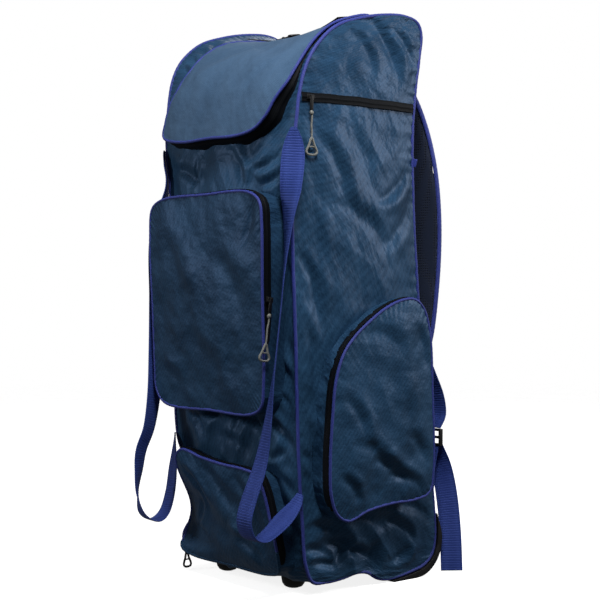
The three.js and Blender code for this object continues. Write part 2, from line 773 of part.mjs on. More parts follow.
const side_pocket = pocket('side_pocket', {
  a_size: bag_depth,
  rows: [
    { a: 0.470, up: 0.200 },
    { a: 0.455, up: 0.330 },
    { a: 0.430, up: 0.440 },
    { a: 0.375, up: 0.484 },
    { a: 0.300, up: 0.499 },
    { a: 0.190, up: 0.497 },
    { a: 0.064, up: 0.484 },
    { a: -0.055, up: 0.464 },
    { a: -0.170, up: 0.440 },
    { a: -0.265, up: 0.410 },
    { a: -0.325, up: 0.365 },
    { a: -0.350, up: 0.300 },
    { a: -0.362, up: 0.230 },
    { a: -0.350, up: 0.175 },
    { a: -0.300, up: 0.142 },
    { a: -0.215, up: 0.129 },
    { a: -0.060, up: 0.142 },
    { a: 0.140, up: 0.149 },
    { a: 0.320, up: 0.150 },
    { a: 0.440, up: 0.160 },
  ],
  centre: { a: 0.06 * bag_depth, z: 0.31 * bag_height },
  steps: 32,
  rings: 2,
  crown: side_pocket_crown,
  level: (y, z) => side_reach(0.05 * bag_depth, z) + side_pocket_depth - cloth,
  floor: side_reach,
  place: on_right,
  zip_from: 3,
  zip_to: 22,
  bed: right_bed,
  cloth: navy,
  folds: [
    { out0: -0.30, up0: 0.42, out1: 0.10, up1: 0.36, deep: 0.012, wide: 0.07 },
    { out0: 0.10, up0: 0.20, out1: 0.36, up1: 0.24, deep: 0.012, wide: 0.07 },
  ],
});

// Zip across the right side panel, under the top.
const side_zip_height = 0.8385 * bag_height;
const side_zip_front = front_seam_y(side_zip_height) + seam_inset + 1;
const side_zip_back = back_seam_y(side_zip_height) - seam_inset - 1;
add_cloth('side_zip', strip(10, 4, (t, corner) => {
  const [low, outer] = corner_signs[corner];
  const y = THREE.MathUtils.lerp(side_zip_front, side_zip_back, t);
  const z = side_zip_height - (low * zip_width) / 2;
  return on_right(y, z, side_reach(y, z) + rest_gap + (outer > 0 ? zip_thickness : 0));
}), black_zip);

// Webbing: a flat strip along a path, its width turned by an angle in degrees from +X towards +Y.
function webbing(path, steps, thickness = webbing_thickness) {
  return strip(steps, 4, (t, corner) => {
    const here = path(t);
    const nudge = 0.004;
    const along = path(Math.min(t + nudge, 1)).point.clone().sub(path(Math.max(t - nudge, 0)).point).normalize();
    const angle = THREE.MathUtils.degToRad(here.turn);
    const across = new THREE.Vector3(Math.cos(angle), Math.sin(angle), 0);
    across.addScaledVector(along, -across.dot(along)).normalize();
    const normal = along.cross(across);
    const [a, b] = corner_signs[corner];
    return here.point.clone()
      .addScaledVector(across, (a * here.wide * webbing_width) / 2)
      .addScaledVector(normal, (b * thickness) / 2);
  });
}

function webbing_path(rows, side = 1) {
  const at = track(rows);
  return (t) => {
    const here = at(t);
    return {
      point: new THREE.Vector3(side * here.across * bag_width, here.out * bag_depth, here.up * bag_height),
      turn: side > 0 ? here.turn : 180 - here.turn,
      wide: here.wide,
    };
  };
}

// Carrying handles: long loops sewn to the front side seams, with the slack swung forward at the foot.
const right_handle_rows = [
  { across: 0.5105, out: -0.5080, up: 0.786, turn: 50, wide: 0.25 },
  { across: 0.5110, out: -0.5095, up: 0.764, turn: 50, wide: 0.75 },
  { across: 0.5150, out: -0.5190, up: 0.735, turn: 48, wide: 1 },
  { across: 0.527, out: -0.545, up: 0.690, turn: 30, wide: 1 },
  { across: 0.525, out: -0.560, up: 0.640, turn: -10, wide: 1 },
  { across: 0.520, out: -0.585, up: 0.560, turn: -35, wide: 1 },
  { across: 0.516, out: -0.615, up: 0.470, turn: -40, wide: 1 },
  { across: 0.512, out: -0.650, up: 0.385, turn: -38, wide: 1 },
  { across: 0.505, out: -0.690, up: 0.300, turn: -22, wide: 1 },
  { across: 0.495, out: -0.740, up: 0.230, turn: -6, wide: 1 },
  { across: 0.485, out: -0.805, up: 0.180, turn: 0, wide: 1 },
  { across: 0.480, out: -0.840, up: 0.143, turn: 0, wide: 1 },
  { across: 0.480, out: -0.810, up: 0.116, turn: 0, wide: 1 },
  { across: 0.484, out: -0.735, up: 0.107, turn: 0, wide: 1 },
  { across: 0.492, out: -0.660, up: 0.118, turn: 8, wide: 1 },
  { across: 0.503, out: -0.570, up: 0.140, turn: 20, wide: 0.95 },
  { across: 0.508, out: -0.495, up: 0.160, turn: 32, wide: 0.6 },
  { across: 0.509, out: -0.460, up: 0.176, turn: 40, wide: 0.3 },
];
const left_handle_rows = [
  { across: -0.5660, out: -0.5005, up: 0.772, turn: 125, wide: 0.3 },
  { across: -0.5420, out: -0.5170, up: 0.745, turn: 138, wide: 1 },
  { across: -0.5120, out: -0.5300, up: 0.700, turn: 136, wide: 1 },
  { across: -0.520, out: -0.590, up: 0.610, turn: 96, wide: 1 },
  { across: -0.520, out: -0.590, up: 0.500, turn: 92, wide: 1 },
  { across: -0.515, out: -0.605, up: 0.400, turn: 96, wide: 1 },
  { across: -0.505, out: -0.635, up: 0.325, turn: 108, wide: 1 },
  { across: -0.498, out: -0.675, up: 0.265, turn: 114, wide: 1 },
  { across: -0.495, out: -0.735, up: 0.224, turn: 116, wide: 1 },
  { across: -0.495, out: -0.752, up: 0.189, turn: 124, wide: 1 },
  { across: -0.492, out: -0.766, up: 0.148, turn: 142, wide: 1 },
  { across: -0.488, out: -0.735, up: 0.110, turn: 165, wide: 1 },
  { across: -0.485, out: -0.650, up: 0.094, turn: 175, wide: 1 },
  { across: -0.485, out: -0.570, up: 0.107, turn: 172, wide: 1 },
  { across: -0.488, out: -0.520, up: 0.143, turn: 170, wide: 1 },
  { across: -0.492, out: -0.495, up: 0.189, turn: 165, wide: 1 },
  { across: -0.498, out: -0.480, up: 0.226, turn: 155, wide: 0.7 },
  { across: -0.506, out: -0.470, up: 0.250, turn: 145, wide: 0.3 },
];
add_cloth('right_handle', webbing(webbing_path(right_handle_rows), 28), blue_webbing);
add('left_handle', webbing(webbing_path(left_handle_rows), 28), blue_webbing);

// Padded shoulder straps on the back, with a bound edge, a lock and a free end of webbing.
const pad_rows = [
  { across: 0.195, out: 0.5240, up: 0.922, wide: 0.80, turn: 0 },
  { across: 0.215, out: 0.612, up: 0.902, wide: 0.92, turn: 0 },
  { across: 0.250, out: 0.672, up: 0.862, wide: 1, turn: 4 },
  { across: 0.295, out: 0.718, up: 0.800, wide: 1, turn: 8 },
  { across: 0.328, out: 0.748, up: 0.730, wide: 1, turn: 8 },
  { across: 0.342, out: 0.765, up: 0.655, wide: 1, turn: 6 },
  { across: 0.342, out: 0.768, up: 0.580, wide: 1, turn: 4 },
  { across: 0.338, out: 0.752, up: 0.505, wide: 1, turn: 2 },
  { across: 0.338, out: 0.728, up: 0.440, wide: 0.9, turn: 2 },
  { across: 0.345, out: 0.714, up: 0.400, wide: 0.6, turn: 2 },
];
const upper_strap_rows = [
  { across: 0.346, out: 0.714, up: 0.3969, turn: 2, wide: 0.9 },
  { across: 0.368, out: 0.750, up: 0.360, turn: 4, wide: 1 },
  { across: 0.388, out: 0.795, up: 0.320, turn: 4, wide: 1 },
  { across: 0.392, out: 0.810, up: 0.285, turn: 2, wide: 1 },
  { across: 0.388, out: 0.768, up: 0.2609, turn: 0, wide: 1 },
];
const lower_strap_rows = [
  { across: 0.388, out: 0.752, up: 0.2261, turn: 0, wide: 1 },
  { across: 0.395, out: 0.715, up: 0.190, turn: 0, wide: 1 },
  { across: 0.405, out: 0.690, up: 0.155, turn: 0, wide: 1 },
  { across: 0.412, out: 0.6480, up: 0.125, turn: 0, wide: 1 },
];
const tail_rows = [
  { across: 0.400, out: 0.7758, up: 0.2265, turn: 4, wide: 1 },
  { across: 0.420, out: 0.802, up: 0.195, turn: 16, wide: 1 },
  { across: 0.448, out: 0.805, up: 0.155, turn: 34, wide: 1 },
  { across: 0.480, out: 0.795, up: 0.110, turn: 46, wide: 1 },
  { across: 0.512, out: 0.775, up: 0.060, turn: 50, wide: 1 },
  { across: 0.540, out: 0.750, up: 0.004, turn: 52, wide: 1 },
];
const lock_row = { across: 0.388, out: 0.757, up: 0.2435 };

function pad_frame(rows, side, t) {
  const path = webbing_path(rows, side);
  const nudge = 0.01;
  const here = path(t);
  const along = path(Math.min(t + nudge, 1)).point.sub(path(Math.max(t - nudge, 0)).point).normalize();
  const angle = THREE.MathUtils.degToRad(here.turn);
  const across = new THREE.Vector3(Math.cos(angle), Math.sin(angle), 0);
  across.addScaledVector(along, -across.dot(along)).normalize();
  return { point: here.point, across, normal: along.clone().cross(across), wide: here.wide };
}

const hands = [['right', 1], ['left', -1]];
const pad_section = [[1, 0], [0.75, 0.5], [-0.75, 0.5], [-1, 0], [-0.75, -0.5], [0.75, -0.5]];
const pad_steps = 14;
const pad_half = pad_width / 2 - 2 * binding_radius - touch;
for (const [hand, side] of hands) {
  add(`${hand}_shoulder_pad`, strip(pad_steps, pad_section.length, (t, corner) => {
    const frame = pad_frame(pad_rows, side, t);
    const [a, b] = pad_section[corner];
    return frame.point.clone()
      .addScaledVector(frame.across, a * (pad_half + ((frame.wide - 1) * pad_width) / 2))
      .addScaledVector(frame.normal, b * pad_thickness);
  }), black_mesh);
  for (const edge of [1, -1]) {
    const place = edge > 0 ? 'outer' : 'inner';
    add(`${hand}_pad_${place}_binding`, strip(pad_steps, 4, (t, corner) => {
      const frame = pad_frame(pad_rows, side, t);
      const angle = (Math.PI * corner) / 2;
      const out = (frame.wide * pad_width) / 2 - binding_radius + binding_radius * Math.cos(angle);
      return frame.point.clone()
        .addScaledVector(frame.across, edge * out)
        .addScaledVector(frame.normal, 1.4 * binding_radius * Math.sin(angle));
    }), blue_piping);
  }
  add(`${hand}_upper_strap`, webbing(webbing_path(upper_strap_rows, side), 10), blue_webbing);
  add(`${hand}_lower_strap`, webbing(webbing_path(lower_strap_rows, side), 6), blue_webbing);
  add(`${hand}_strap_tail`, webbing(webbing_path(tail_rows, side), 8), blue_webbing);
  const slot_height = (lock_height - 3 * lock_bar) / 2;
  const slot = new THREE.BoxGeometry(webbing_width + lock_bar / 2, 2 * lock_thickness, slot_height);
  const slot_rise = (slot_height + lock_bar) / 2;
  const lock = cut(
    new THREE.BoxGeometry(webbing_width + 2.5 * lock_bar, lock_thickness, lock_height),
    slot.clone().translate(0, 0, slot_rise),
    slot.clone().translate(0, 0, -slot_rise),
  );
  lock.translate(side * lock_row.across * bag_width, lock_row.out * bag_depth, lock_row.up * bag_height);
  add(`${hand}_ladder_lock`, lock, black_plastic);
}

// Moulded base tray inside the hem, with two feet and a low skid at its front.
const tray_top = tray_underside + tray_wall;
const tray_front = front_seam_y(tray_underside) + cloth / 2 + touch + 3;
const tray_back = back_seam_y(tray_underside) - cloth / 2 - touch - 2;
const tray_half = half - cloth / 2 - touch - 3;
const tray_outline = new THREE.Shape();
const tray_round = 12;
tray_outline.moveTo(-tray_half + tray_round, tray_front);
tray_outline.lineTo(tray_half - tray_round, tray_front);
tray_outline.quadraticCurveTo(tray_half, tray_front, tray_half, tray_front + tray_round);
tray_outline.lineTo(tray_half, tray_back - tray_round);
tray_outline.quadraticCurveTo(tray_half, tray_back, tray_half - tray_round, tray_back);
tray_outline.lineTo(-tray_half + tray_round, tray_back);
tray_outline.quadraticCurveTo(-tray_half, tray_back, -tray_half, tray_back - tray_round);
tray_outline.lineTo(-tray_half, tray_front + tray_round);
tray_outline.quadraticCurveTo(-tray_half, tray_front, -tray_half + tray_round, tray_front);
const tray = new THREE.ExtrudeGeometry(tray_outline, { depth: tray_wall, bevelEnabled: false, curveSegments: 4 });
tray.translate(0, 0, tray_underside);

// A round solid about the X axis, and one about Z.
function disc_on_x(radius, from_x, to_x, centre, sides) {
  const disc = new THREE.CylinderGeometry(radius, radius, Math.abs(to_x - from_x), sides);
  return disc.rotateZ(Math.PI / 2).translate((from_x + to_x) / 2, centre.y, centre.z);
}

const guard_centre = { y: 0.475 * bag_depth, z: guard_radius };
const wheel_shift = (guard_radius + wheel_overhang - wheel_radius) / Math.SQRT2;
const wheel_centre = { y: guard_centre.y + wheel_shift, z: guard_centre.z - wheel_shift };
const wheel_x = half - wheel_inset;
const well_half = wheel_width / 2 + wheel_side_play;
const shell_half = well_half + housing_wall;
const well_radius = wheel_radius + wheel_rim_play;
const shell_radius = well_radius + housing_wall;
const guard_outer_x = half + piping_radius + 2;
const guard_inner_x = guard_outer_x - guard_width;

// The guard's outline: its outer arc, a flat runner, and the hem it wraps.
const guard_top_row = 24;
const guard_tip_row = 29.6;
const guard_clear = piping_radius + rest_gap + touch;

function guard_outline() {
  const inner = [];
  for (let row = guard_top_row; row <= guard_tip_row; row += 0.5) {
    inner.push(seam_point(row).addScaledVector(seam_out(row), guard_clear));
  }
  const outline = new THREE.Shape();
  const start_angle = 0.52;
  outline.absarc(guard_centre.y, guard_centre.z, guard_radius, start_angle, -Math.PI / 2, true);
  outline.lineTo(inner[inner.length - 1].y + 2, 0);
  for (const point of inner.reverse()) {
    outline.lineTo(point.y, point.z);
  }
  return outline;
}

// Shapes drawn in (y, z) are extruded along X.
function extrude_on_x(shape, from_x, to_x) {
  const solid = new THREE.ExtrudeGeometry(shape, { depth: to_x - from_x, bevelEnabled: false, curveSegments: 10 });
  const turned = weld(solid);
  const places = turned.getAttribute('position');
  for (let i = 0; i < places.count; i += 1) {
    places.setXYZ(i, from_x + places.getZ(i), places.getX(i), places.getY(i));
  }
  return turned;
}

// What the base tray and the back panel leave free round each wheel housing.
const well_cuts = hands.map(([, side]) => disc_on_x(
  shell_radius + rest_gap,
  side * wheel_x - shell_half - rest_gap,
  side * wheel_x + shell_half + rest_gap,
  wheel_centre,
  24,
));
add('base_tray', cut(tray, ...well_cuts), black_plastic);
const back_rows = right_rows.map((row) => back_hem_row - row).reverse().filter((row) => row >= back_top_row);
add_cloth('back_panel', cut(wrap_panel(6, back_rows), ...well_cuts), navy);

const rim = wheel_width / 2;
const hub_radius = 0.45 * wheel_radius;
const tread_radius = wheel_radius - 4;
const tyre = [
  [axle_radius + axle_play, -rim],
  [hub_radius, -rim],
  [0.62 * wheel_radius, -0.55 * rim],
  [tread_radius, -rim],
  [wheel_radius, -0.6 * rim],
  [wheel_radius, 0.6 * rim],
  [tread_radius, rim],
  [0.62 * wheel_radius, 0.55 * rim],
  [hub_radius, rim],
  [axle_radius + axle_play, rim],
  [axle_radius + axle_play, -rim],
].map(([radius, along]) => new THREE.Vector2(radius, along));

const foot_y = tray_front + foot_setback;
const foot_top = tray_underside - touch;
const foot_profile = [new THREE.Vector2(0, 0), new THREE.Vector2(foot_flat, 0)];
for (const share of [0.33, 0.66, 1]) {
  const angle = (share * Math.PI) / 2;
  const wide = foot_flat + (foot_radius - foot_flat) * Math.sin(angle);
  foot_profile.push(new THREE.Vector2(wide, 0.8 * foot_radius * (1 - Math.cos(angle))));
}
foot_profile.push(new THREE.Vector2(foot_radius, foot_top), new THREE.Vector2(0, foot_top));

for (const [hand, side] of hands) {
  const x = side * wheel_x;
  const shell = common(
    cut(
      disc_on_x(shell_radius, x - shell_half, x + shell_half, wheel_centre, 20),
      disc_on_x(well_radius, x - well_half, x + well_half, wheel_centre, 18),
    ),
    disc_on_x(guard_radius, x - 2 * shell_half, x + 2 * shell_half, guard_centre, 32),
  );
  const guard = side > 0
    ? extrude_on_x(guard_outline(), guard_inner_x, guard_outer_x)
    : extrude_on_x(guard_outline(), -guard_outer_x, -guard_inner_x);
  const bore = disc_on_x(axle_radius + axle_play, x - 2 * shell_half, x + 2 * shell_half, wheel_centre, 12);
  add(`${hand}_wheel_housing`, cut(join(shell, guard), bore), black_plastic);

  const wheel = new THREE.LatheGeometry(tyre, 14);
  wheel.rotateZ(-Math.PI / 2).translate(x, wheel_centre.y, wheel_centre.z);
  add(`${hand}_wheel`, wheel, black_rubber);
  add(`${hand}_axle`, disc_on_x(axle_radius, x - shell_half, x + shell_half, wheel_centre, 12), bright_metal);

  const foot = new THREE.LatheGeometry(foot_profile, 12).rotateX(Math.PI / 2);
  add(`${hand}_front_foot`, foot.translate(side * foot_spread, foot_y, 0), black_plastic);
}

const skid_profile = [new THREE.Vector2(0, skid_underside)];
for (const share of [0.35, 0.7, 1]) {
  const angle = (share * Math.PI) / 2;
  const rise = (tray_underside - touch - skid_underside) * (1 - Math.cos(angle));
  skid_profile.push(new THREE.Vector2(skid_radius * Math.sin(angle), skid_underside + rise));
}
skid_profile.push(new THREE.Vector2(0, tray_underside - touch));
const skid = new THREE.LatheGeometry(skid_profile, 14).rotateX(Math.PI / 2).scale(1, 0.55, 1);
add('front_skid', skid.translate(0, foot_y, 0), black_plastic);

// Zip sliders and moulded pulls. Each hangs at a place on a zip, facing out along a direction.
function slider_geometry() {
  const body = new THREE.BoxGeometry(slider_width, slider_height, slider_length);
  body.translate(0, -slider_height / 2, 0);
  const tab = new THREE.BoxGeometry(tab_width, tab_thickness, tab_length);
  tab.translate(0, -slider_height, -tab_length / 2);
  return join(body, tab);
}

function pull_geometry(neck_length) {
  const neck = new THREE.CylinderGeometry(pull_neck_radius, pull_neck_radius, neck_length, 5);
  neck.rotateX(Math.PI / 2).translate(0, 0, -neck_length / 2);
  const knot = new THREE.OctahedronGeometry(knot_radius);
  const corners = [[0, 0], [0.22, -0.5], [0.42, -0.95], [0.3, -1.1], [-0.3, -1.1], [-0.42, -0.95], [-0.22, -0.5]];
  const sink = 2;
  const curve = new THREE.CatmullRomCurve3(corners.map(([a, b]) => new THREE.Vector3(
    a * pull_ring_size,
    0,
    b * pull_ring_size - neck_length + sink,
  )), true, 'centripetal');
  const loop = round_ring(
    9,
    4,
    pull_ring_radius,
    (t) => curve.getPoint(t),
    () => new THREE.Vector3(0, 1, 0),
    (t) => curve.getTangent(t).cross(new THREE.Vector3(0, 1, 0)).normalize(),
  );
  return join(neck, knot, loop);
}

// A slider and its pull at a place, facing outward, with the pull lying along a direction.
function hang(name, place, outward, along, material = grey_pull, neck_length = pull_neck) {
  const back = outward.clone().negate().normalize();
  const up = along.clone().addScaledVector(back, -along.dot(back)).normalize().negate();
  const seat = new THREE.Group();
  seat.quaternion.setFromRotationMatrix(new THREE.Matrix4().makeBasis(back.clone().cross(up).normalize(), back, up));
  seat.position.copy(place);
  const slider = new THREE.Mesh(slider_geometry(), black_plastic);
  slider.name = `${name}_slider`;
  const pull = new THREE.Mesh(pull_geometry(neck_length), material);
  pull.name = `${name}_pull`;
  pull.position.set(0, -slider_height, -tab_length - knot_radius - touch);
  seat.add(slider, pull);
  bag.add(seat);
}

const down = new THREE.Vector3(0, 0, -1);
const slider_lift = zip_thickness + rest_gap + touch;
const side_slider_y = side_zip_front + 14;
const side_slider_reach = side_reach(side_slider_y, side_zip_height) + slider_lift;
const side_slope = side_reach(side_slider_y + 1, side_zip_height) - side_reach(side_slider_y, side_zip_height);
hang(
  'side_zip',
  on_right(side_slider_y, side_zip_height, side_slider_reach),
  new THREE.Vector3(1, -side_slope, 0).normalize(),
  down,
);

// A slider on the zip of a pocket, at a share t of the pocket's outline.
function pocket_slider(held, t, along, material, neck_length) {
  const edge = held.zip_face(t);
  const outward = edge.clone().sub(held.zip_face_inner(t)).normalize();
  hang(held.name, edge, outward, along, material, neck_length);
}
const front_slider_t = 2 / 32;
const lower_slider_t = 21 / 32;
pocket_slider(front_pocket, front_slider_t, new THREE.Vector3(-0.1, -0.12, -1), grey_pull, 1.1 * pull_neck);
pocket_slider(lower_pocket, lower_slider_t, new THREE.Vector3(-0.6, -0.2, -0.6), black_plastic, 0.15 * pull_neck);

// The lid's slider lies at the back of its zip, with the pull laid over the lid.
const lid_slider_t = 0.60;
const lid_slider_lift = lid_lift(lid_slider_t) + cloth + 0.3 * lid_crown + touch;
hang(
  'lid_zip',
  settle(lid_point(lid_slider_t, 0.93, lid_slider_lift)),
  lid_outward(lid_slider_t),
  new THREE.Vector3(1, -0.2, -0.14),
  black_plastic,
  0.5 * pull_neck,
);

// The whole bag is moved so that its box stands centred on the origin.
const extent = new THREE.Box3().setFromObject(bag);
bag.position.set(-(extent.min.x + extent.max.x) / 2, -(extent.min.y + extent.max.y) / 2, -extent.min.z);
const model = new THREE.Group();
model.add(bag);

export default model;
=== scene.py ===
import math

import bmesh
import bpy
import numpy as np
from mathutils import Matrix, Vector, noise


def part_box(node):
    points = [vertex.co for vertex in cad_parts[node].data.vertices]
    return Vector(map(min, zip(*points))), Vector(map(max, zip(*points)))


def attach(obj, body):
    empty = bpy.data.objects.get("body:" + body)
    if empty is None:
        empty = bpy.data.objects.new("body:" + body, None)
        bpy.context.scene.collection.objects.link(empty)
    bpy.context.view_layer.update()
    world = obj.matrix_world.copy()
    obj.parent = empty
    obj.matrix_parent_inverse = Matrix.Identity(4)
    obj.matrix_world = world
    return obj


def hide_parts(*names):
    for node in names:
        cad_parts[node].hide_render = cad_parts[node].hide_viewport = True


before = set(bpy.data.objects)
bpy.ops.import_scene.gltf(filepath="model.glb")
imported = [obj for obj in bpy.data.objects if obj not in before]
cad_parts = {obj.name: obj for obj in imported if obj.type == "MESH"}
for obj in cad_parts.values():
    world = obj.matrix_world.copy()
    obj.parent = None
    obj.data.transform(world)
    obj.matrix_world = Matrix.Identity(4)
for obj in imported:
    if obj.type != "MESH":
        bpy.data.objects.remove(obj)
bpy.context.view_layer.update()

# Studio: a camera at the middle of the bag's height, turned to see the front and the right side, a pale floor
# that fades into white, and four soft lights: a strong key light, a front, a side and a rim light.
VIEW_AZIMUTH = math.radians(50)
VIEW_DISTANCE = 2.450
VIEW_HEIGHT = 0.508
FOCAL_PX = 1400.0
FRAME_PX = 600.0
SENSOR_MM = 36.0
HORIZON_PX = (293.0, 282.0)

axle_low, axle_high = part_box("right_axle")
other_low, other_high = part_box("left_axle")
AXLE_MM = np.array([0.0, 153.506, 41.494])
axle_middle = (axle_low + axle_high + other_low + other_high) / 4
FRAME_SHIFT_MM = np.array([
    axle_middle.x * 1000, axle_middle.y * 1000 - AXLE_MM[1], axle_middle.z * 1000 - AXLE_MM[2],
])


def in_frame(points_mm):
    """Points in millimetres from the middle of the bag, as metres in the frame."""
    return (np.asarray(points_mm, float) + FRAME_SHIFT_MM) / 1000.0


def linear(hex_colour):
    """An sRGB hex colour as linear RGBA."""
    parts = [int(hex_colour[i:i + 2], 16) / 255 for i in (1, 3, 5)]
    return (*[c / 12.92 if c <= 0.04045 else ((c + 0.055) / 1.055) ** 2.4 for c in parts], 1.0)


def add_node(tree, kind, settings=None, links=None):
    """Adds a node with its settings and links. A key that names a socket sets or links that socket."""
    node = tree.nodes.new(kind)
    for key, value in (settings or {}).items():
        if isinstance(key, int) or key in node.inputs:
            node.inputs[key].default_value = value
        else:
            setattr(node, key, value)
    for key, socket in (links or {}).items():
        tree.links.new(socket, node.inputs[key])
    return node


def new_material(name, settings):
    """A material with one Principled shader and an output."""
    material = bpy.data.materials.new(name)
    material.use_nodes = True
    tree = material.node_tree
    tree.nodes.clear()
    shader = add_node(tree, "ShaderNodeBsdfPrincipled", settings)
    add_node(tree, "ShaderNodeOutputMaterial", links={"Surface": shader.outputs["BSDF"]})
    return material, tree, shader


def two_tones(tree, shader, shade, lit, share):
    """Colours a shader from one tone to another by a share."""
    colour = add_node(tree, "ShaderNodeMix", {
        "data_type": "RGBA", 6: linear(shade), 7: linear(lit),
    }, {"Factor": share})
    tree.links.new(colour.outputs[2], shader.inputs["Base Color"])


def emboss(tree, shader, strength, depth_m, height):
    """Bumps a shader by a height that stands for a depth in metres."""
    bump = add_node(tree, "ShaderNodeBump", {"Strength": strength, "Distance": depth_m}, {"Height": height})
    tree.links.new(bump.outputs["Normal"], shader.inputs["Normal"])


camera_data = bpy.data.cameras.new("camera")
camera_data.sensor_width = SENSOR_MM
camera_data.lens = FOCAL_PX / FRAME_PX * SENSOR_MM
camera_data.shift_x = (FRAME_PX / 2 - HORIZON_PX[0]) / FRAME_PX
camera_data.shift_y = -(FRAME_PX / 2 - HORIZON_PX[1]) / FRAME_PX
camera_data.clip_end = 60
camera = bpy.data.objects.new("camera", camera_data)
look = Vector((-math.sin(VIEW_AZIMUTH), math.cos(VIEW_AZIMUTH), 0))
bag_axis = Vector(in_frame((0, 0, 0)))
camera.location = bag_axis - look * VIEW_DISTANCE + Vector((0, 0, VIEW_HEIGHT - bag_axis.z))
camera.rotation_euler = look.to_track_quat("-Z", "Y").to_euler()
bpy.context.scene.collection.objects.link(camera)
bpy.context.scene.camera = camera
bpy.context.scene.view_settings.view_transform = "Standard"

world = bpy.data.worlds.new("studio")
world.use_nodes = True
ROOM_GLOW, BACKDROP_GLOW = 0.10, 1.0
room = world.node_tree.nodes["Background"]
room.inputs["Color"].default_value = (1, 1, 1, 1)
room.inputs["Strength"].default_value = ROOM_GLOW
backdrop = add_node(world.node_tree, "ShaderNodeBackground", {
    "Color": (1, 1, 1, 1), "Strength": BACKDROP_GLOW,
})
seen = add_node(world.node_tree, "ShaderNodeLightPath")
lit_room = add_node(world.node_tree, "ShaderNodeMixShader", None, {
    0: seen.outputs["Is Camera Ray"], 1: room.outputs[0], 2: backdrop.outputs[0],
})
world.node_tree.links.new(lit_room.outputs[0], world.node_tree.nodes["World Output"].inputs["Surface"])
bpy.context.scene.world = world

# name, azimuth and height of the light seen from the bag in degrees, distance, size in metres, watts
STUDIO_LIGHTS = [
    ("key_light", 58, 54, 1.9, 0.6, 36),
    ("front_light", -30, 14, 2.4, 0.5, 13),
    ("side_light", 146, 18, 2.4, 0.6, 18),
    ("rim_light", 215, 40, 2.8, 1.2, 12),
]
LIGHT_AIM = Vector((0, 0, 0.5))
for light_name, azimuth, raised, distance, size, watts in STUDIO_LIGHTS:
    light_data = bpy.data.lights.new(light_name, "AREA")
    light_data.shape = "DISK"
    light_data.size = size
    light_data.energy = watts
    light = bpy.data.objects.new(light_name, light_data)
    turn, lift = math.radians(azimuth), math.radians(raised)
    away = Vector((math.sin(turn) * math.cos(lift), -math.cos(turn) * math.cos(lift), math.sin(lift)))
    light.location = LIGHT_AIM + away * distance
    light.rotation_euler = (-away).to_track_quat("-Z", "Y").to_euler()
    bpy.context.scene.collection.objects.link(light)

FLOOR_RADIUS = 7.0
FLOOR_FADE = (1.2, 5.0)
floor_bm = bmesh.new()
bmesh.ops.create_circle(floor_bm, cap_ends=True, segments=96, radius=FLOOR_RADIUS)
floor_mesh = bpy.data.meshes.new("floor")
floor_bm.to_mesh(floor_mesh)
floor_bm.free()
floor = bpy.data.objects.new("floor", floor_mesh)
bpy.context.scene.collection.objects.link(floor)
floor_paint, tree, shader = new_material("pale_studio_floor", {
    "Base Color": linear("#f4f4f3"), "Roughness": 0.9, "Specular IOR Level": 0.1,
    "Emission Color": (1, 1, 1, 1), "Emission Strength": 0.85,
})
where = add_node(tree, "ShaderNodeTexCoord")
reach = add_node(tree, "ShaderNodeVectorMath", {"operation": "LENGTH"}, {0: where.outputs["Object"]})
fade = add_node(tree, "ShaderNodeMapRange", {
    "interpolation_type": "SMOOTHSTEP", "From Min": FLOOR_FADE[0], "From Max": FLOOR_FADE[1],
    "To Min": 1.0, "To Max": 0.0,
}, {"Value": reach.outputs["Value"]})
tree.links.new(fade.outputs["Result"], shader.inputs["Alpha"])
floor_mesh.materials.append(floor_paint)
floor.visible_diffuse = False
floor.visible_glossy = False


# Cloth body: front, top, back and two side panels of navy twill polyester, sewn together along the two side
# seams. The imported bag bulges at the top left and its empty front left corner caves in.
WIDTH, DEPTH, HEIGHT = 336.0, 280.0, 960.0
HALF = WIDTH / 2
CLOTH = 2.0
# out and crown are shares of the depth, up is a share of the height
SEAM_ROWS = np.array([
    (-0.357, 0.025, 0.01), (-0.407, 0.052, 0.03), (-0.432, 0.120, 0.05), (-0.464, 0.250, 0.06),
    (-0.482, 0.417, 0.065), (-0.507, 0.599, 0.07), (-0.507, 0.729, 0.07), (-0.480, 0.797, 0.065),
    (-0.454, 0.849, 0.045), (-0.404, 0.893, 0.005), (-0.314, 0.932, -0.035), (-0.171, 0.966, -0.080),
    (0.021, 0.986, -0.125), (0.221, 0.998, -0.160), (0.393, 1.001, -0.165), (0.493, 0.993, -0.12),
    (0.525, 0.971, -0.055), (0.507, 0.927, -0.01), (0.475, 0.870, 0.01), (0.450, 0.790, 0.02),
    (0.457, 0.667, 0.025), (0.496, 0.510, 0.025), (0.554, 0.344, 0.02), (0.607, 0.198, 0.01),
    (0.640, 0.110, 0.005), (0.646, 0.066, 0), (0.620, 0.038, 0), (0.550, 0.021, 0), (0.446, 0.0135, 0),
    (0.329, 0.0085, 0), (0.221, 0.0075, 0), (0.150, 0.0125, 0), (0.079, 0.024, 0), (0, 0.028, 0),
    (-0.125, 0.023, 0), (-0.250, 0.021, 0),
])
APEX_FRONT_ROW, APEX_BACK_ROW, BACK_TOP_ROW, BACK_HEM_ROW = 13, 15, 16, 28
LAST_ROW = len(SEAM_ROWS)


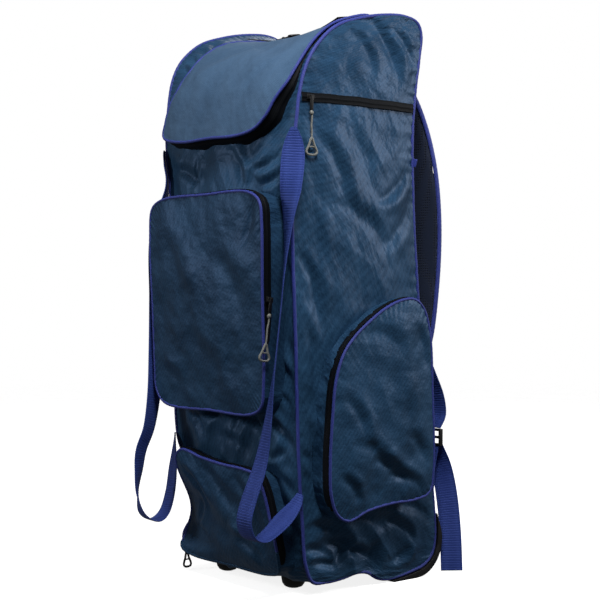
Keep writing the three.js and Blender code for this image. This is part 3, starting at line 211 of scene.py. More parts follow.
def closed_curve(corners, t):
    """Centripetal Catmull-Rom curve through closed corners, at shares t of its length in corners."""
    corners = np.asarray(corners, float)
    count = len(corners)
    at = (np.asarray(t, float) % 1.0) * count
    k = np.floor(at).astype(int)
    w = (at - k)[:, None]
    p0, p1, p2, p3 = (corners[(k + i) % count] for i in (-1, 0, 1, 2))
    spans = ((p0, p1), (p1, p2), (p2, p3))
    d0, d1, d2 = (np.maximum(np.linalg.norm(b - a, axis=1), 1e-9)[:, None] ** 0.5 for a, b in spans)
    slope1 = ((p1 - p0) / d0 - (p2 - p0) / (d0 + d1) + (p2 - p1) / d1) * d1
    slope2 = ((p2 - p1) / d1 - (p3 - p1) / (d1 + d2) + (p3 - p2) / d2) * d1
    return (p1 + slope1 * w + (-3 * p1 + 3 * p2 - 2 * slope1 - slope2) * w ** 2
            + (2 * p1 - 2 * p2 + slope1 + slope2) * w ** 3)


SEAM_SAMPLES = 3600
row_grid = np.arange(SEAM_SAMPLES) * LAST_ROW / SEAM_SAMPLES
seam_yz = closed_curve(SEAM_ROWS[:, :2] * (DEPTH, HEIGHT), row_grid / LAST_ROW)
seam_along = np.roll(seam_yz, -1, 0) - np.roll(seam_yz, 1, 0)
seam_along /= np.linalg.norm(seam_along, axis=1)[:, None]
seam_normal = np.stack([-seam_along[:, 1], seam_along[:, 0]], 1)
seam_crown = np.interp(row_grid, np.arange(LAST_ROW + 1), np.append(SEAM_ROWS[:, 2], SEAM_ROWS[0, 2])) * DEPTH
CROWN_SOFTENING = 61
CROWN_OVERLAP = 100
kernel = np.hanning(CROWN_SOFTENING) / np.hanning(CROWN_SOFTENING).sum()
crown_ring = np.concatenate([seam_crown[-CROWN_OVERLAP:], seam_crown, seam_crown[:CROWN_OVERLAP]])
seam_crown = np.convolve(crown_ring, kernel, "same")[CROWN_OVERLAP:-CROWN_OVERLAP]
seam_table = np.column_stack([seam_yz, seam_normal, seam_crown])
seam_length = np.concatenate([[0], np.cumsum(np.linalg.norm(np.diff(seam_yz, axis=0), axis=1))])
# the samples up the front to the top, and from there down the back
TOP_SAMPLE, HEM_SAMPLE = 1400, 2800
front_z = slice(0, TOP_SAMPLE + 1)
back_z = slice(TOP_SAMPLE, HEM_SAMPLE + 1)


def seam_at(row):
    """y, z, outward y, outward z and crown of the side seam at rows of its table."""
    return [np.interp(row % LAST_ROW, row_grid, seam_table[:, i], period=LAST_ROW) for i in range(5)]


def smooth(value, low, high):
    share = np.clip((value - low) / (high - low), 0, 1)
    return share * share * (3 - 2 * share)


# centre, reach and push in millimetres of each place where the cloth has given way
SLACK_PLACES = [
    ((-HALF, -0.45 * DEPTH, 0.140 * HEIGHT), 60, 40 * np.array([0.507, 0.862, 0])),
    ((-0.34 * WIDTH, -0.6 * DEPTH, 0.085 * HEIGHT), 70, 26 * np.array([0, 1, 0])),
    ((-HALF, -0.38 * DEPTH, 0.062 * HEIGHT), 42, 13 * np.array([-0.75, -0.65, 0])),
]
SLACK_FROM, SLACK_TO = 31.0, 0.07 * HEIGHT


def settle(points):
    """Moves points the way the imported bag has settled."""
    x, z = points[:, 0], points[:, 2]
    leftward = smooth(-x, -0.2 * HALF, HALF)
    top = smooth(z, 0.80 * HEIGHT, 0.94 * HEIGHT) * leftward
    slack = smooth(z, SLACK_FROM, SLACK_TO)
    moved = points.copy()
    for centre, reach, push in SLACK_PLACES:
        near = np.exp(-(np.linalg.norm(points - np.array(centre), axis=1) / reach) ** 2)
        moved += (slack * near)[:, None] * push
    moved[:, 0] -= 24 * smooth(z, 0.69 * HEIGHT, 0.81 * HEIGHT) * leftward
    moved[:, 1] -= 12 * top
    moved[:, 2] += 13 * top
    return moved


def wrap_point(x, row, lift=0.0):
    """A point on the panel that wraps round the bag between the side seams."""
    y, z, out_y, out_z, crown = seam_at(row)
    raised = crown * (1 - (x / HALF) ** 2) + lift
    return np.stack([x + 0 * y, y + out_y * raised, z + out_z * raised], 1)


def front_reach(x, z):
    """How far forward of the middle plane the front panel's outside is."""
    row = np.interp(z, seam_yz[front_z, 1], row_grid[front_z])
    for _ in range(5):
        here = wrap_point(x, row)
        ahead = wrap_point(x, row + 0.05)
        row = row + np.clip((z - here[:, 2]) / np.maximum(ahead[:, 2] - here[:, 2], 0.5) * 0.05, -0.5, 0.5)
    return -wrap_point(x, row)[:, 1] + CLOTH / 2


SIDE_ZIP_Z = 0.8385 * HEIGHT
SIDE_SWELL = [0.008, 0.030, 0.040, 0.045, 0.045, 0.040, 0.036, 0.030, 0.012]


def table_at(columns, t):
    """Columns of a table as smooth functions of t, from its first row to its last."""
    rows = np.asarray(columns, float)
    rows = rows[:, None] if rows.ndim == 1 else rows
    at = np.clip(t, 0, 1) * (len(rows) - 1)
    k = np.minimum(np.floor(at).astype(int), len(rows) - 2)
    w = (at - k)[:, None]
    a, b, c, d = (rows[np.clip(k + i, 0, len(rows) - 1)] for i in (-1, 0, 1, 2))
    slope_b, slope_c = (c - a) / 2, (d - b) / 2
    bend = 3 * (c - b) - 2 * slope_b - slope_c
    twist = 2 * (b - c) + slope_b + slope_c
    return b + slope_b * w + bend * w ** 2 + twist * w ** 3


def side_across(y, z):
    """Where a point of a side panel lies between its front seam, -1, and its back seam, 1."""
    front = np.interp(z, seam_yz[front_z, 1], seam_yz[front_z, 0])
    back = np.interp(z, seam_yz[back_z, 1][::-1], seam_yz[back_z, 0][::-1])
    return np.clip(2 * (y - front) / np.maximum(back - front, 1) - 1, -1, 1)


def fold_depth(folds, width, a, z):
    """Depth of soft creases, each from one point to another, given as shares of a width and the height."""
    depth = np.zeros(len(a))
    for a0, z0, a1, z1, deep, wide in folds:
        start = np.array([a0 * width, z0 * HEIGHT])
        line = np.array([a1 * width, z1 * HEIGHT]) - start
        here = np.stack([a, z], 1) - start
        share = np.clip(here @ line / (line @ line), 0, 1)
        away = np.linalg.norm(here - share[:, None] * line, axis=1) / (wide * width)
        depth += deep * width * np.exp(-away ** 2)
    return depth


SIDE_FOLDS = [
    (-0.36, 0.70, -0.33, 0.16, 0.020, 0.055), (-0.30, 0.10, 0.10, 0.065, 0.018, 0.05),
    (-0.10, 0.78, 0.25, 0.70, 0.010, 0.07), (0.10, 0.10, 0.45, 0.17, 0.010, 0.06),
]
FRONT_FOLDS = [(-0.30, 0.745, -0.14, 0.71, 0.014, 0.05), (0.20, 0.75, 0.30, 0.66, 0.016, 0.06)]


def side_reach(y, z):
    """How far from the middle plane the outside of a side panel is."""
    across = side_across(y, z)
    swell = table_at(SIDE_SWELL, z / HEIGHT)[:, 0] * WIDTH
    return HALF + (swell - fold_depth(SIDE_FOLDS, DEPTH, y, z)) * (1 - across ** 2) + CLOTH / 2


def rumple(a, z, size, seed, octaves=3):
    """Smooth noise over a flat piece of cloth, about -1 to 1, with features of a size in millimetres."""
    points = np.stack([a / size, z / size, np.full(len(a), seed * 7.31)], 1)
    return np.array([noise.fractal(p, 0.9, 2.1, octaves) for p in points.tolist()])


def wrinkle(folds, a, z):
    """Height of sharp drawn creases: a valley with a raised lip on one side, dying out at both ends."""
    total = np.zeros(len(a))
    for a0, z0, a1, z1, deep, wide in folds:
        line = np.array([a1 - a0, z1 - z0], float)
        length = np.linalg.norm(line)
        line /= length
        along = (a - a0) * line[0] + (z - z0) * line[1]
        off = (a - a0) * -line[1] + (z - z0) * line[0]
        bend = 0.10 * length * np.sin(np.pi * along / length)
        off = off - bend
        share = np.clip(along / length, 0, 1)
        fade = np.sin(np.pi * share) ** 0.7
        lip = 0.75 * np.exp(-((off - 1.7 * wide) / (1.25 * wide)) ** 2)
        total += 1.7 * deep * fade * (lip - np.exp(-(off / wide) ** 2))
    return total


def off_join(u):
    """None at the join of a closed outline, where its start meets its end, and one away from it."""
    return np.minimum(1, 25 * np.minimum(u, 1 - u))


def pucker(along, away, pitch, tall, seed):
    """The small gathers of a sewn edge: waves along the seam that die away from it."""
    wander = rumple(along, away * 0, 90, seed, 2)
    wave = np.sin(2 * np.pi * along / pitch + 5 * wander)
    return tall * np.exp(-np.abs(away) / 16.0) * wave * (0.6 + 0.6 * wander)


def cloth_sheet(name, cols, rows, place, flat, inside=(0, 0, 0.48 * HEIGHT), closed=False):
    """A grid of cloth bent onto place(u, v) in millimetres, with flat(u, v) as its UV map in metres."""
    bm = bmesh.new()
    bmesh.ops.create_grid(bm, x_segments=cols, y_segments=rows, size=1.0)
    mesh = bpy.data.meshes.new(name)
    bm.to_mesh(mesh)
    bm.free()
    grid = np.empty(len(mesh.vertices) * 3, np.float32)
    mesh.vertices.foreach_get("co", grid)
    grid = (grid.reshape(-1, 3).astype(float) + 1) / 2
    u, v = grid[:, 0], grid[:, 1]
    mesh.vertices.foreach_set("co", in_frame(place(u, v)).astype(np.float32).ravel())
    corner = np.empty(len(mesh.loops), np.int32)
    mesh.loops.foreach_get("vertex_index", corner)
    layer = mesh.uv_layers.new(name="flat_cloth")
    layer.data.foreach_set("uv", (np.stack(flat(u, v), 1) / 1000.0)[corner].astype(np.float32).ravel())
    bm = bmesh.new()
    bm.from_mesh(mesh)
    bmesh.ops.remove_doubles(bm, verts=bm.verts, dist=2e-6)
    bmesh.ops.dissolve_degenerate(bm, edges=bm.edges, dist=1e-7)
    if closed:
        bmesh.ops.recalc_face_normals(bm, faces=bm.faces)
    else:
        middle = Vector(in_frame(inside))
        turned = sum(f.normal.dot(f.calc_center_median() - middle) * f.calc_area() for f in bm.faces)
        if turned < 0:
            bmesh.ops.reverse_faces(bm, faces=bm.faces)
    for face in bm.faces:
        face.smooth = True
    bm.to_mesh(mesh)
    bm.free()
    piece = bpy.data.objects.new(name, mesh)
    bpy.context.scene.collection.objects.link(piece)
    return piece


SHEET_MM = 1.5


def give_thickness(piece, thickness_mm=SHEET_MM):
    """Thickens a sheet of cloth towards its inside."""
    wall = piece.modifiers.new("cloth_thickness", "SOLIDIFY")
    wall.thickness = thickness_mm / 1000
    wall.offset = -1
    return piece


def finish_piece(piece, material, slot, *replaced, body="bag"):
    """Gives a piece its material, the body that carries it and the solids that it replaces. Its slot is not used.
    """
    piece.data.materials.append(material)
    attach(piece, body)
    if replaced:
        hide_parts(*replaced)
    return piece


TWILL_LINE_MM = 6.0
WEAVE_GRAIN_MM = 2.0
# how much of the texture is grain, the rest being lines
GRAIN_SHARE = 0.86


def twill_polyester(name, shade, lit, gloss=0.46, line_mm=TWILL_LINE_MM, turn=38):
    """Navy 600-denier twill polyester, coated on its back: faint broken slanting lines and a satin gloss."""
    material, tree, shader = new_material(name, {
        "Roughness": gloss, "Specular IOR Level": 0.42, "Specular Tint": linear("#6f9cd8"),
        "Sheen Weight": 0.04, "Sheen Roughness": 0.4, "Sheen Tint": linear("#7f9cc4"),
    })
    where = add_node(tree, "ShaderNodeTexCoord")
    on_cloth = {"Vector": where.outputs["UV"]}
    turned = add_node(tree, "ShaderNodeMapping", {"Rotation": (0, 0, math.radians(turn))}, on_cloth)
    # a wave's period is 0.314 over its scale; the real lines are about 1 mm apart, drawn coarser to show
    lines = add_node(tree, "ShaderNodeTexWave", {
        "Scale": 314.0 / line_mm, "Distortion": 0.7, "Detail": 1.0, "Detail Scale": 0.7,
    }, {"Vector": turned.outputs["Vector"]})
    grain = add_node(tree, "ShaderNodeTexNoise", {"Scale": 1000.0 / WEAVE_GRAIN_MM, "Detail": 2.0}, on_cloth)
    texture = add_node(tree, "ShaderNodeMix", {
        "data_type": "FLOAT", "Factor": GRAIN_SHARE,
    }, {2: lines.outputs["Fac"], 3: grain.outputs["Fac"]})
    spread = add_node(tree, "ShaderNodeMapRange", {
        "From Min": 0.25, "From Max": 0.75, "To Min": 0.15, "To Max": 0.85,
    }, {"Value": texture.outputs[0]})
    # soft clouds of lighter and darker cloth, about 90 mm across: partly the cloth's own uneven tone, partly
    # painted sheen and painted shade of its folds
    clouds = add_node(tree, "ShaderNodeTexNoise", {"Scale": 11.0, "Detail": 4.0, "Roughness": 0.6}, on_cloth)
    broad = add_node(tree, "ShaderNodeMapRange", {
        "From Min": 0.3, "From Max": 0.7, "To Min": -0.28, "To Max": 0.28,
    }, {"Value": clouds.outputs["Fac"]})
    share = add_node(tree, "ShaderNodeMath", {
        "operation": "ADD", "use_clamp": True,
    }, {0: spread.outputs["Result"], 1: broad.outputs["Result"]})
    two_tones(tree, shader, shade, lit, share.outputs[0])
    # soft crumples that break up the gloss, and the relief of the weave
    crumple = add_node(tree, "ShaderNodeTexNoise", {"Scale": 13.0, "Detail": 4.0, "Roughness": 0.5}, on_cloth)
    soft = add_node(tree, "ShaderNodeBump", {
        "Strength": 0.6, "Distance": 0.016,
    }, {"Height": crumple.outputs["Fac"]})
    fine = add_node(tree, "ShaderNodeBump", {
        "Strength": 0.25, "Distance": 0.0006,
    }, {"Height": texture.outputs[0], "Normal": soft.outputs["Normal"]})
    tree.links.new(fine.outputs["Normal"], shader.inputs["Normal"])
    return material


body_cloth = twill_polyester("navy_twill_polyester", "#12293f", "#305272")

UNDER_PIPING = 1.0
# creases in the front panel, in millimetres: x and z of both ends, depth and width
FRONT_CREASES = [
    (-150, 706, -60, 672, 4.0, 10), (-60, 728, -96, 664, 2.2, 7), (28, 730, 60, 664, 3.4, 9),
    (148, 720, 84, 690, 3.8, 8), (152, 690, 96, 664, 3.0, 7), (120, 745, 58, 700, 2.4, 8),
    (-140, 292, -50, 240, 5.0, 11), (-80, 300, 20, 262, 4.2, 10), (10, 298, 110, 250, 4.6, 10),
    (60, 292, 150, 262, 3.4, 8), (150, 240, 96, 224, 2.6, 7), (-20, 250, 60, 228, 2.8, 8),
    (150, 420, 158, 330, 2.0, 6), (150, 560, 156, 470, 1.6, 6), (134, 600, 158, 520, 2.2, 6),
    (128, 380, 160, 344, 2.8, 6), (130, 330, 162, 296, 3.0, 6), (-166, 884, -124, 862, 2.6, 5),
    (-166, 902, -124, 884, 3.0, 5), (-168, 920, -122, 902, 3.2, 5), (-168, 934, -120, 918, 3.0, 5),
    (100, 290, 166, 226, 4.0, 8), (-100, 270, -20, 286, 3.6, 8), (30, 284, 100, 262, 4.0, 9),
    (120, 200, 166, 150, 3.4, 8), (130, 130, 166, 80, 3.4, 8),
]
# creases in the right and left side panels and the back: y, or x, and z of both ends, depth and width
SIDE_CREASES = [
    (20, 952, 92, 838, 4.2, 12), (60, 940, 124, 880, 3.0, 9), (-30, 930, 30, 850, 2.6, 11),
    (-110, 760, -30, 640, 2.6, 13), (-60, 640, 60, 560, 2.4, 15), (110, 700, 30, 640, 2.8, 10),
    (124, 660, 40, 560, 2.2, 12), (-134, 560, -92, 450, 3.2, 9), (-136, 470, -100, 330, 2.4, 8),
    (-126, 300, -100, 200, 3.0, 8), (-110, 120, -20, 70, 4.6, 10), (-120, 84, 20, 46, 4.4, 9),
    (-60, 130, 60, 90, 3.6, 10), (30, 118, 130, 60, 3.8, 9), (80, 134, 164, 96, 3.0, 9),
    (-20, 96, -70, 40, 3.0, 8), (120, 60, 60, 36, 2.6, 8), (-130, 74, -60, 60, 4.6, 8), (-124, 50, -50, 42, 4.0, 7),
    (-50, 60, 30, 52, 4.0, 8), (-140, 240, -110, 220, 3.2, 6), (-140, 210, -112, 186, 3.2, 6),
]
LEFT_CREASES = [
    (-90, 760, 40, 640, 3.0, 13), (60, 600, -60, 500, 2.6, 14), (-110, 330, 10, 240, 3.2, 12),
    (-60, 130, 90, 70, 3.6, 10), (40, 900, 90, 800, 3.0, 10),
]
BACK_CREASES = [(-60, 500, 70, 440, 2.5, 14), (80, 330, -40, 270, 2.5, 14)]


def crush(a, z, size, seed):
    """Long sharp folds of crumpled cloth: ridged noise, stretched on the slant, of a size in millimetres."""
    slant = np.stack([0.82 * a + 0.57 * z, 0.36 * (0.82 * z - 0.57 * a)])
    other = np.stack([0.9 * a - 0.42 * z, 0.45 * (0.9 * z + 0.42 * a)])
    return (1 - 2.4 * np.abs(rumple(slant[0], slant[1], size, seed, 1))
            - 1.5 * np.abs(rumple(other[0], other[1], 0.8 * size, seed + 0.6, 1)))


def front_crushed(x, z):
    """How hard the front is crumpled: most below and between the pockets, and right of the front pocket."""
    low = 1 - smooth(z, 280, 330)
    right = smooth(x, 118, 150) * (1 - smooth(z, 600, 690))
    return 1.5 + 6.5 * low + 4.0 * right * (1 - low) + 3.0 * smooth(z, 640, 690) * (1 - smooth(z, 760, 800))


def back_crushed(x, z):
    """The back is crumpled evenly and little."""
    return 2.0 + 0 * x


def wrap_cloth(row_from, row_to, creases, seed, rows_fold, crushed):
    """The place and flat functions of a sheet between two rows of the seam, from side to side."""
    first, last = np.interp([row_from, row_to], row_grid, seam_length)

    def place(u, v):
        x = (2 * u - 1) * (HALF - UNDER_PIPING)
        row = row_from + (row_to - row_from) * v
        run = first + (last - first) * v
        z = seam_at(row)[1]
        edge = np.minimum(HALF - np.abs(x), 200)
        slack = 1 - np.exp(-edge / 22.0)
        lift = -fold_depth(rows_fold, WIDTH, x, z)
        lift = lift + wrinkle(creases, x, z) * slack + 1.7 * rumple(x, run, 78, seed) * slack
        lift = lift + 0.8 * rumple(x, run, 24, seed + 3) * slack
        lift = lift + pucker(run, edge, 17, 1.3, seed + 5) + crush(x, z, 62, seed + 7) * slack * crushed(x, z)
        return settle(wrap_point(x, row, lift + CLOTH / 2))

    return place, lambda u, v: (u * WIDTH, first + (last - first) * v)


place, flat = wrap_cloth(0, BACK_TOP_ROW, FRONT_CREASES, 1, FRONT_FOLDS, front_crushed)
front = cloth_sheet("front_and_top_cloth", 170, 520, place, flat)
finish_piece(give_thickness(front), body_cloth, "navy_polyester", "front_panel", "top_panel")
place, flat = wrap_cloth(BACK_TOP_ROW, BACK_HEM_ROW, BACK_CREASES, 3, (), back_crushed)
back = cloth_sheet("back_panel_cloth", 120, 260, place, flat)
finish_piece(give_thickness(back), body_cloth, "navy_polyester", "back_panel")


def seam_edge(row, inset=UNDER_PIPING):
    """y and z of the seam at rows of its table, drawn in under the piping."""
    y, z, out_y, out_z, _ = seam_at(row)
    return np.stack([y - out_y * inset, z - out_z * inset], 1)


def side_place(side, creases, seed):
    """The place function of a side panel, blended in between its four edges."""
    def place(u, v):
        first = seam_edge(v * APEX_FRONT_ROW)
        last = seam_edge(BACK_HEM_ROW - v * (BACK_HEM_ROW - APEX_BACK_ROW))
        hem = seam_edge(LAST_ROW - u * (LAST_ROW - BACK_HEM_ROW))
        top_edge = seam_edge(APEX_FRONT_ROW + u * (APEX_BACK_ROW - APEX_FRONT_ROW))
        corner_rows = (0, BACK_HEM_ROW, APEX_FRONT_ROW, APEX_BACK_ROW)
        corner = [seam_edge(np.full(len(u), float(r))) for r in corner_rows]
        u1, v1 = u[:, None], v[:, None]
        yz = (first * (1 - u1) + last * u1 + hem * (1 - v1) + top_edge * v1
              - corner[0] * (1 - u1) * (1 - v1) - corner[1] * u1 * (1 - v1)
              - corner[2] * (1 - u1) * v1 - corner[3] * u1 * v1)
        y, z = yz[:, 0], yz[:, 1]
        near_ends = np.clip((z - 20) / 40, 0, 1) * np.clip((HEIGHT - z) / 40 + 0.2, 0, 1)
        inner = (1 - side_across(y, z) ** 2) * near_ends
        slack = 1 - np.exp(-5 * inner)
        lift = (wrinkle(creases, y, z) + 2.0 * rumple(y, z, 95, seed) + 0.8 * rumple(y, z, 28, seed + 3)) * slack
        edge = (1 - np.abs(side_across(y, z))) * 140
        hard = 2.6 + 4.5 * (1 - smooth(z, 120, 170)) + 3.0 * smooth(-y, 90, 120) * (1 - smooth(z, 480, 560))
        hard = hard * (1 - 0.9 * np.exp(-((z - SIDE_ZIP_Z) / 16) ** 2))
        lift = lift + pucker(z, edge, 19, 1.2, seed + 4) + crush(y, z, 78, seed + 8) * slack * hard
        return settle(np.stack([side * (side_reach(y, z) + lift), y, z], 1))

    return place


def side_flat(u, v):
    y = -0.5 * DEPTH + u * DEPTH
    return y, v * HEIGHT


right_side = cloth_sheet("right_side_cloth", 150, 330, side_place(1, SIDE_CREASES, 11), side_flat)
finish_piece(give_thickness(right_side), body_cloth, "navy_polyester", "right_side_panel")
left_side = cloth_sheet("left_side_cloth", 130, 300, side_place(-1, LEFT_CREASES, 17), side_flat)
finish_piece(give_thickness(left_side), body_cloth, "navy_polyester", "left_side_panel")


# Body piping: a cord wrapped in blue bias-cut polyester, sewn into both side seams all the way round.
def frames_along(points, reference, closed):
    """Unit tangents and two unit side vectors along a line of points, the first nearest to a reference."""
    ahead = np.roll(points, -1, 0) if closed else np.vstack([points[1:], points[-1:]])
    behind = np.roll(points, 1, 0) if closed else np.vstack([points[:1], points[:-1]])
    along = ahead - behind
    along /= np.maximum(np.linalg.norm(along, axis=1), 1e-9)[:, None]
    first = reference - (reference * along).sum(1)[:, None] * along
    first /= np.maximum(np.linalg.norm(first, axis=1), 1e-9)[:, None]
    return along, first, np.cross(along, first)


def run_length(points):
    """Length from the start of a line of points to each of them."""
    return np.concatenate([[0], np.cumsum(np.linalg.norm(np.diff(points, axis=0), axis=1))])


def close_ends(piece):
    """Fills the open ends of a swept piece."""
    bm = bmesh.new()
    bm.from_mesh(piece.data)
    open_edges = [e for e in bm.edges if e.is_boundary]
    if open_edges:
        caps = bmesh.ops.holes_fill(bm, edges=open_edges)
        bmesh.ops.triangulate(bm, faces=caps["faces"])
    bmesh.ops.recalc_face_normals(bm, faces=bm.faces)
    for face in bm.faces:
        face.smooth = True
    bm.to_mesh(piece.data)
    bm.free()
    return piece


def swept(name, line, reference, section, around, closed=False):
    """A closed section swept along a line. section(angle, run, share) gives two offsets in millimetres."""
    along, first, second = frames_along(line, reference, closed)
    run = run_length(np.vstack([line, line[:1]]) if closed else line)
    steps = len(line) if closed else len(line) - 1

    def place(u, v):
        k = np.rint(v * steps).astype(int)
        at = k % len(line)
        a, b = section(2 * np.pi * np.rint(u * around) / around, run[at] if closed else run[k], v)
        return line[at] + first[at] * a[:, None] + second[at] * b[:, None]

    def flat(u, v):
        return u * 20.0, run[np.rint(v * steps).astype(int)]

    piece = cloth_sheet(name, around, steps, place, flat, closed=True)
    return piece if closed else close_ends(piece)


PIPING_SIDES = 10
PIPING_STEP_MM = 4.0
PIPING_GATHER_MM = 7.5


def piping_section(radius):
    """A round section that swells and narrows where the tape's wrap is gathered."""
    def section(angle, run, share):
        r = radius * (1 + 0.05 * np.sin(2 * np.pi * run / PIPING_GATHER_MM + 1.2 * np.cos(angle)))
        return r * np.cos(angle), r * np.sin(angle)
    return section


def even_line(points, step_mm, closed):
    """The same line with points at even steps."""
    line = np.vstack([points, points[:1]]) if closed else points
    run = run_length(line)
    count = max(4, int(run[-1] / step_mm))
    at = np.linspace(0, run[-1], count, endpoint=False) if closed else np.linspace(0, run[-1], count + 1)
    return np.stack([np.interp(at, run, line[:, i]) for i in range(3)], 1)


piping_cloth, tree, shader = new_material("blue_bias_tape", {
    "Roughness": 0.58, "Specular IOR Level": 0.35, "Sheen Weight": 0.15, "Sheen Tint": linear("#8fa2e0"),
})
# woven tape cut on the slant: fine slanting lines, drawn 2 mm apart so that they show
where = add_node(tree, "ShaderNodeTexCoord")
slant = add_node(tree, "ShaderNodeMapping", {
    "Rotation": (0, 0, math.radians(40)),
}, {"Vector": where.outputs["UV"]})
lines = add_node(tree, "ShaderNodeTexWave", {
    "Scale": 157.0, "Distortion": 1.5, "Detail": 1.0,
}, {"Vector": slant.outputs["Vector"]})
blotches = add_node(tree, "ShaderNodeTexNoise", {"Scale": 26.0, "Detail": 3.0}, {"Vector": where.outputs["UV"]})
both = add_node(tree, "ShaderNodeMix", {
    "data_type": "FLOAT", "Factor": 0.6,
}, {2: lines.outputs["Fac"], 3: blotches.outputs["Fac"]})
two_tones(tree, shader, "#232e70", "#36429a", both.outputs[0])
emboss(tree, shader, 0.4, 0.0005, lines.outputs["Fac"])

BODY_PIPING_RADIUS = 3.0
PIPING_WOBBLE_MM = 0.7
body_cord = piping_section(BODY_PIPING_RADIUS)
for side, piping_name in ((1, "right_body_piping"), (-1, "left_body_piping")):
    rows = np.arange(0, LAST_ROW, 0.05)
    y, z = seam_at(rows)[:2]
    seam_line = even_line(np.stack([side * HALF + 0 * y, y, z], 1), PIPING_STEP_MM, True)
    wobble = PIPING_WOBBLE_MM * rumple(run_length(seam_line), seam_line[:, 0] * 0, 45, 31 + side)
    seam_line[:, 0] += side * wobble
    outward = np.tile([float(side), 0.0, 0.0], (len(seam_line), 1))
    piece = swept(piping_name + "_cord", settle(seam_line), outward, body_cord, PIPING_SIDES, True)
    finish_piece(piece, piping_cloth, "blue_piping", piping_name)


# Seam tab: a short end of blue tape caught in the back seam of the right side.
TAB_Z, TAB_OUT, TAB_WIDE, TAB_THICK = 713.0, 8.0, 14.0, 2.2
tab_y = np.interp(TAB_Z, seam_yz[back_z, 1][::-1], seam_yz[back_z, 0][::-1])
tab_share = np.linspace(0, 1, 12)
tab_line = np.stack([HALF - 4 + (TAB_OUT + 4) * tab_share, tab_y + 3 * tab_share, TAB_Z - 2 * tab_share ** 2], 1)


def tab_section(angle, run, share):
    c, s = np.cos(angle), np.sin(angle)
    return np.sign(c) * np.abs(c) ** 0.5 * TAB_WIDE / 2, np.sign(s) * np.abs(s) ** 0.5 * TAB_THICK / 2


tab = swept("back_seam_tab", tab_line, np.tile([0.0, 0.0, 1.0], (12, 1)), tab_section, 20)
finish_piece(tab, piping_cloth, "blue_webbing")


# Zip: a black woven tape with a nylon coil down its middle, stitched along both edges.
ZIP_WIDTH = 15.0
ZIP_COIL_PITCH_MM = 3.0
ZIP_STEP_MM = 1.0
ZIP_ACROSS = 14


def zip_height(share, run):
    """How far the face of the zip stands up, across its width and along it."""
    coil = np.exp(-((share - 0.5) / 0.11) ** 2)
    teeth = 0.78 + 0.22 * np.sin(2 * np.pi * run / ZIP_COIL_PITCH_MM)
    stitch = 0.35 * (np.exp(-((share - 0.16) / 0.05) ** 2) + np.exp(-((share - 0.84) / 0.05) ** 2))
    return 0.4 + 1.5 * coil * teeth - stitch * (0.5 + 0.5 * np.sin(2 * np.pi * run / 3.6))


zip_tape, tree, shader = new_material("black_nylon_zip", {"Roughness": 0.6, "Specular IOR Level": 0.14})
# a herringbone tape, near black; the coil shines a little more than the tape
where = add_node(tree, "ShaderNodeTexCoord")
weave = add_node(tree, "ShaderNodeTexWave", {
    "Scale": 190.0, "Distortion": 2.0, "Detail": 1.0,
}, {"Vector": where.outputs["UV"]})
dust = add_node(tree, "ShaderNodeTexNoise", {"Scale": 60.0, "Detail": 3.0}, {"Vector": where.outputs["UV"]})
mixed = add_node(tree, "ShaderNodeMix", {
    "data_type": "FLOAT", "Factor": 0.5,
}, {2: weave.outputs["Fac"], 3: dust.outputs["Fac"]})
two_tones(tree, shader, "#010204", "#0b0f16", mixed.outputs[0])
emboss(tree, shader, 0.5, 0.0004, weave.outputs["Fac"])
ZIP_TAPE_MM = 0.8


def zip_strip(name, length_mm, place_at, *replaced, inside=(0, 0, 480)):
    """A zip along a run. place_at(share along, share across, height) gives millimetres before settling."""
    steps = int(length_mm / ZIP_STEP_MM)

    def place(u, v):
        return settle(place_at(v, u, zip_height(u, v * length_mm)))

    piece = cloth_sheet(name, ZIP_ACROSS, steps, place, lambda u, v: (u * ZIP_WIDTH, v * length_mm), inside)
    give_thickness(piece, ZIP_TAPE_MM)
    return finish_piece(piece, zip_tape, "black_zip", *replaced)


side_zip_y = np.array([
    np.interp(SIDE_ZIP_Z, seam_yz[front_z, 1], seam_yz[front_z, 0]) + 4.0,
    np.interp(SIDE_ZIP_Z, seam_yz[back_z, 1][::-1], seam_yz[back_z, 0][::-1]) - 4.0,
])


def side_zip_place(along, across, height):
    y = side_zip_y[0] + (side_zip_y[1] - side_zip_y[0]) * along
    z = SIDE_ZIP_Z + ZIP_WIDTH * (across - 0.5) + 1.2 * rumple(y, y * 0, 60, 71)
    return np.stack([side_reach(y, z) + 1.2 + height, y, z], 1)


zip_strip("side_zip_tape", side_zip_y[1] - side_zip_y[0], side_zip_place, "side_zip", inside=(0, 0, SIDE_ZIP_Z))


# Lid: a stiffened panel of matte polyester over the mouth, piped all round, standing on a black zipped band that is
# tall at the front and low at the back. Its cloth is painted a lighter blue-grey than the body cloth, as painted
# light from above.
LID_EDGE = np.array([
    (0, 6.62), (0.38, 6.61), (0.60, 6.72), (0.75, 7.05), (0.84, 7.62), (0.93, 8.20), (0.95, 9.60),
    (0.95, 11.10), (0.92, 12.60), (0.60, 13.45), (0.10, 13.55), (-0.30, 13.45), (-0.56, 13.05),
    (-0.66, 12.00), (-0.66, 10.85), (-0.68, 9.60), (-0.72, 8.40), (-0.785, 7.35), (-0.77, 6.82), (-0.42, 6.62),
])
LID_MIDDLE_ROW = 10.2
LID_HEIGHT, LID_MIDDLE_HEIGHT, LID_BACK_HEIGHT, LID_CROWN = 26.0, 13.0, 8.0, 6.0
LID_TALL_ROW, LID_LOW_ROW = 7.1, 9.6
TRIM_RADIUS = 2.5


def lid_point(t, share, lift):
    edge = closed_curve(LID_EDGE, t)
    return wrap_point(edge[:, 0] * HALF * share, LID_MIDDLE_ROW + (edge[:, 1] - LID_MIDDLE_ROW) * share, lift)


def lid_lift(t):
    back_share = smooth(closed_curve(LID_EDGE, t)[:, 1], LID_TALL_ROW, LID_LOW_ROW)
    return LID_HEIGHT + (LID_BACK_HEIGHT - LID_HEIGHT) * back_share - CLOTH / 2


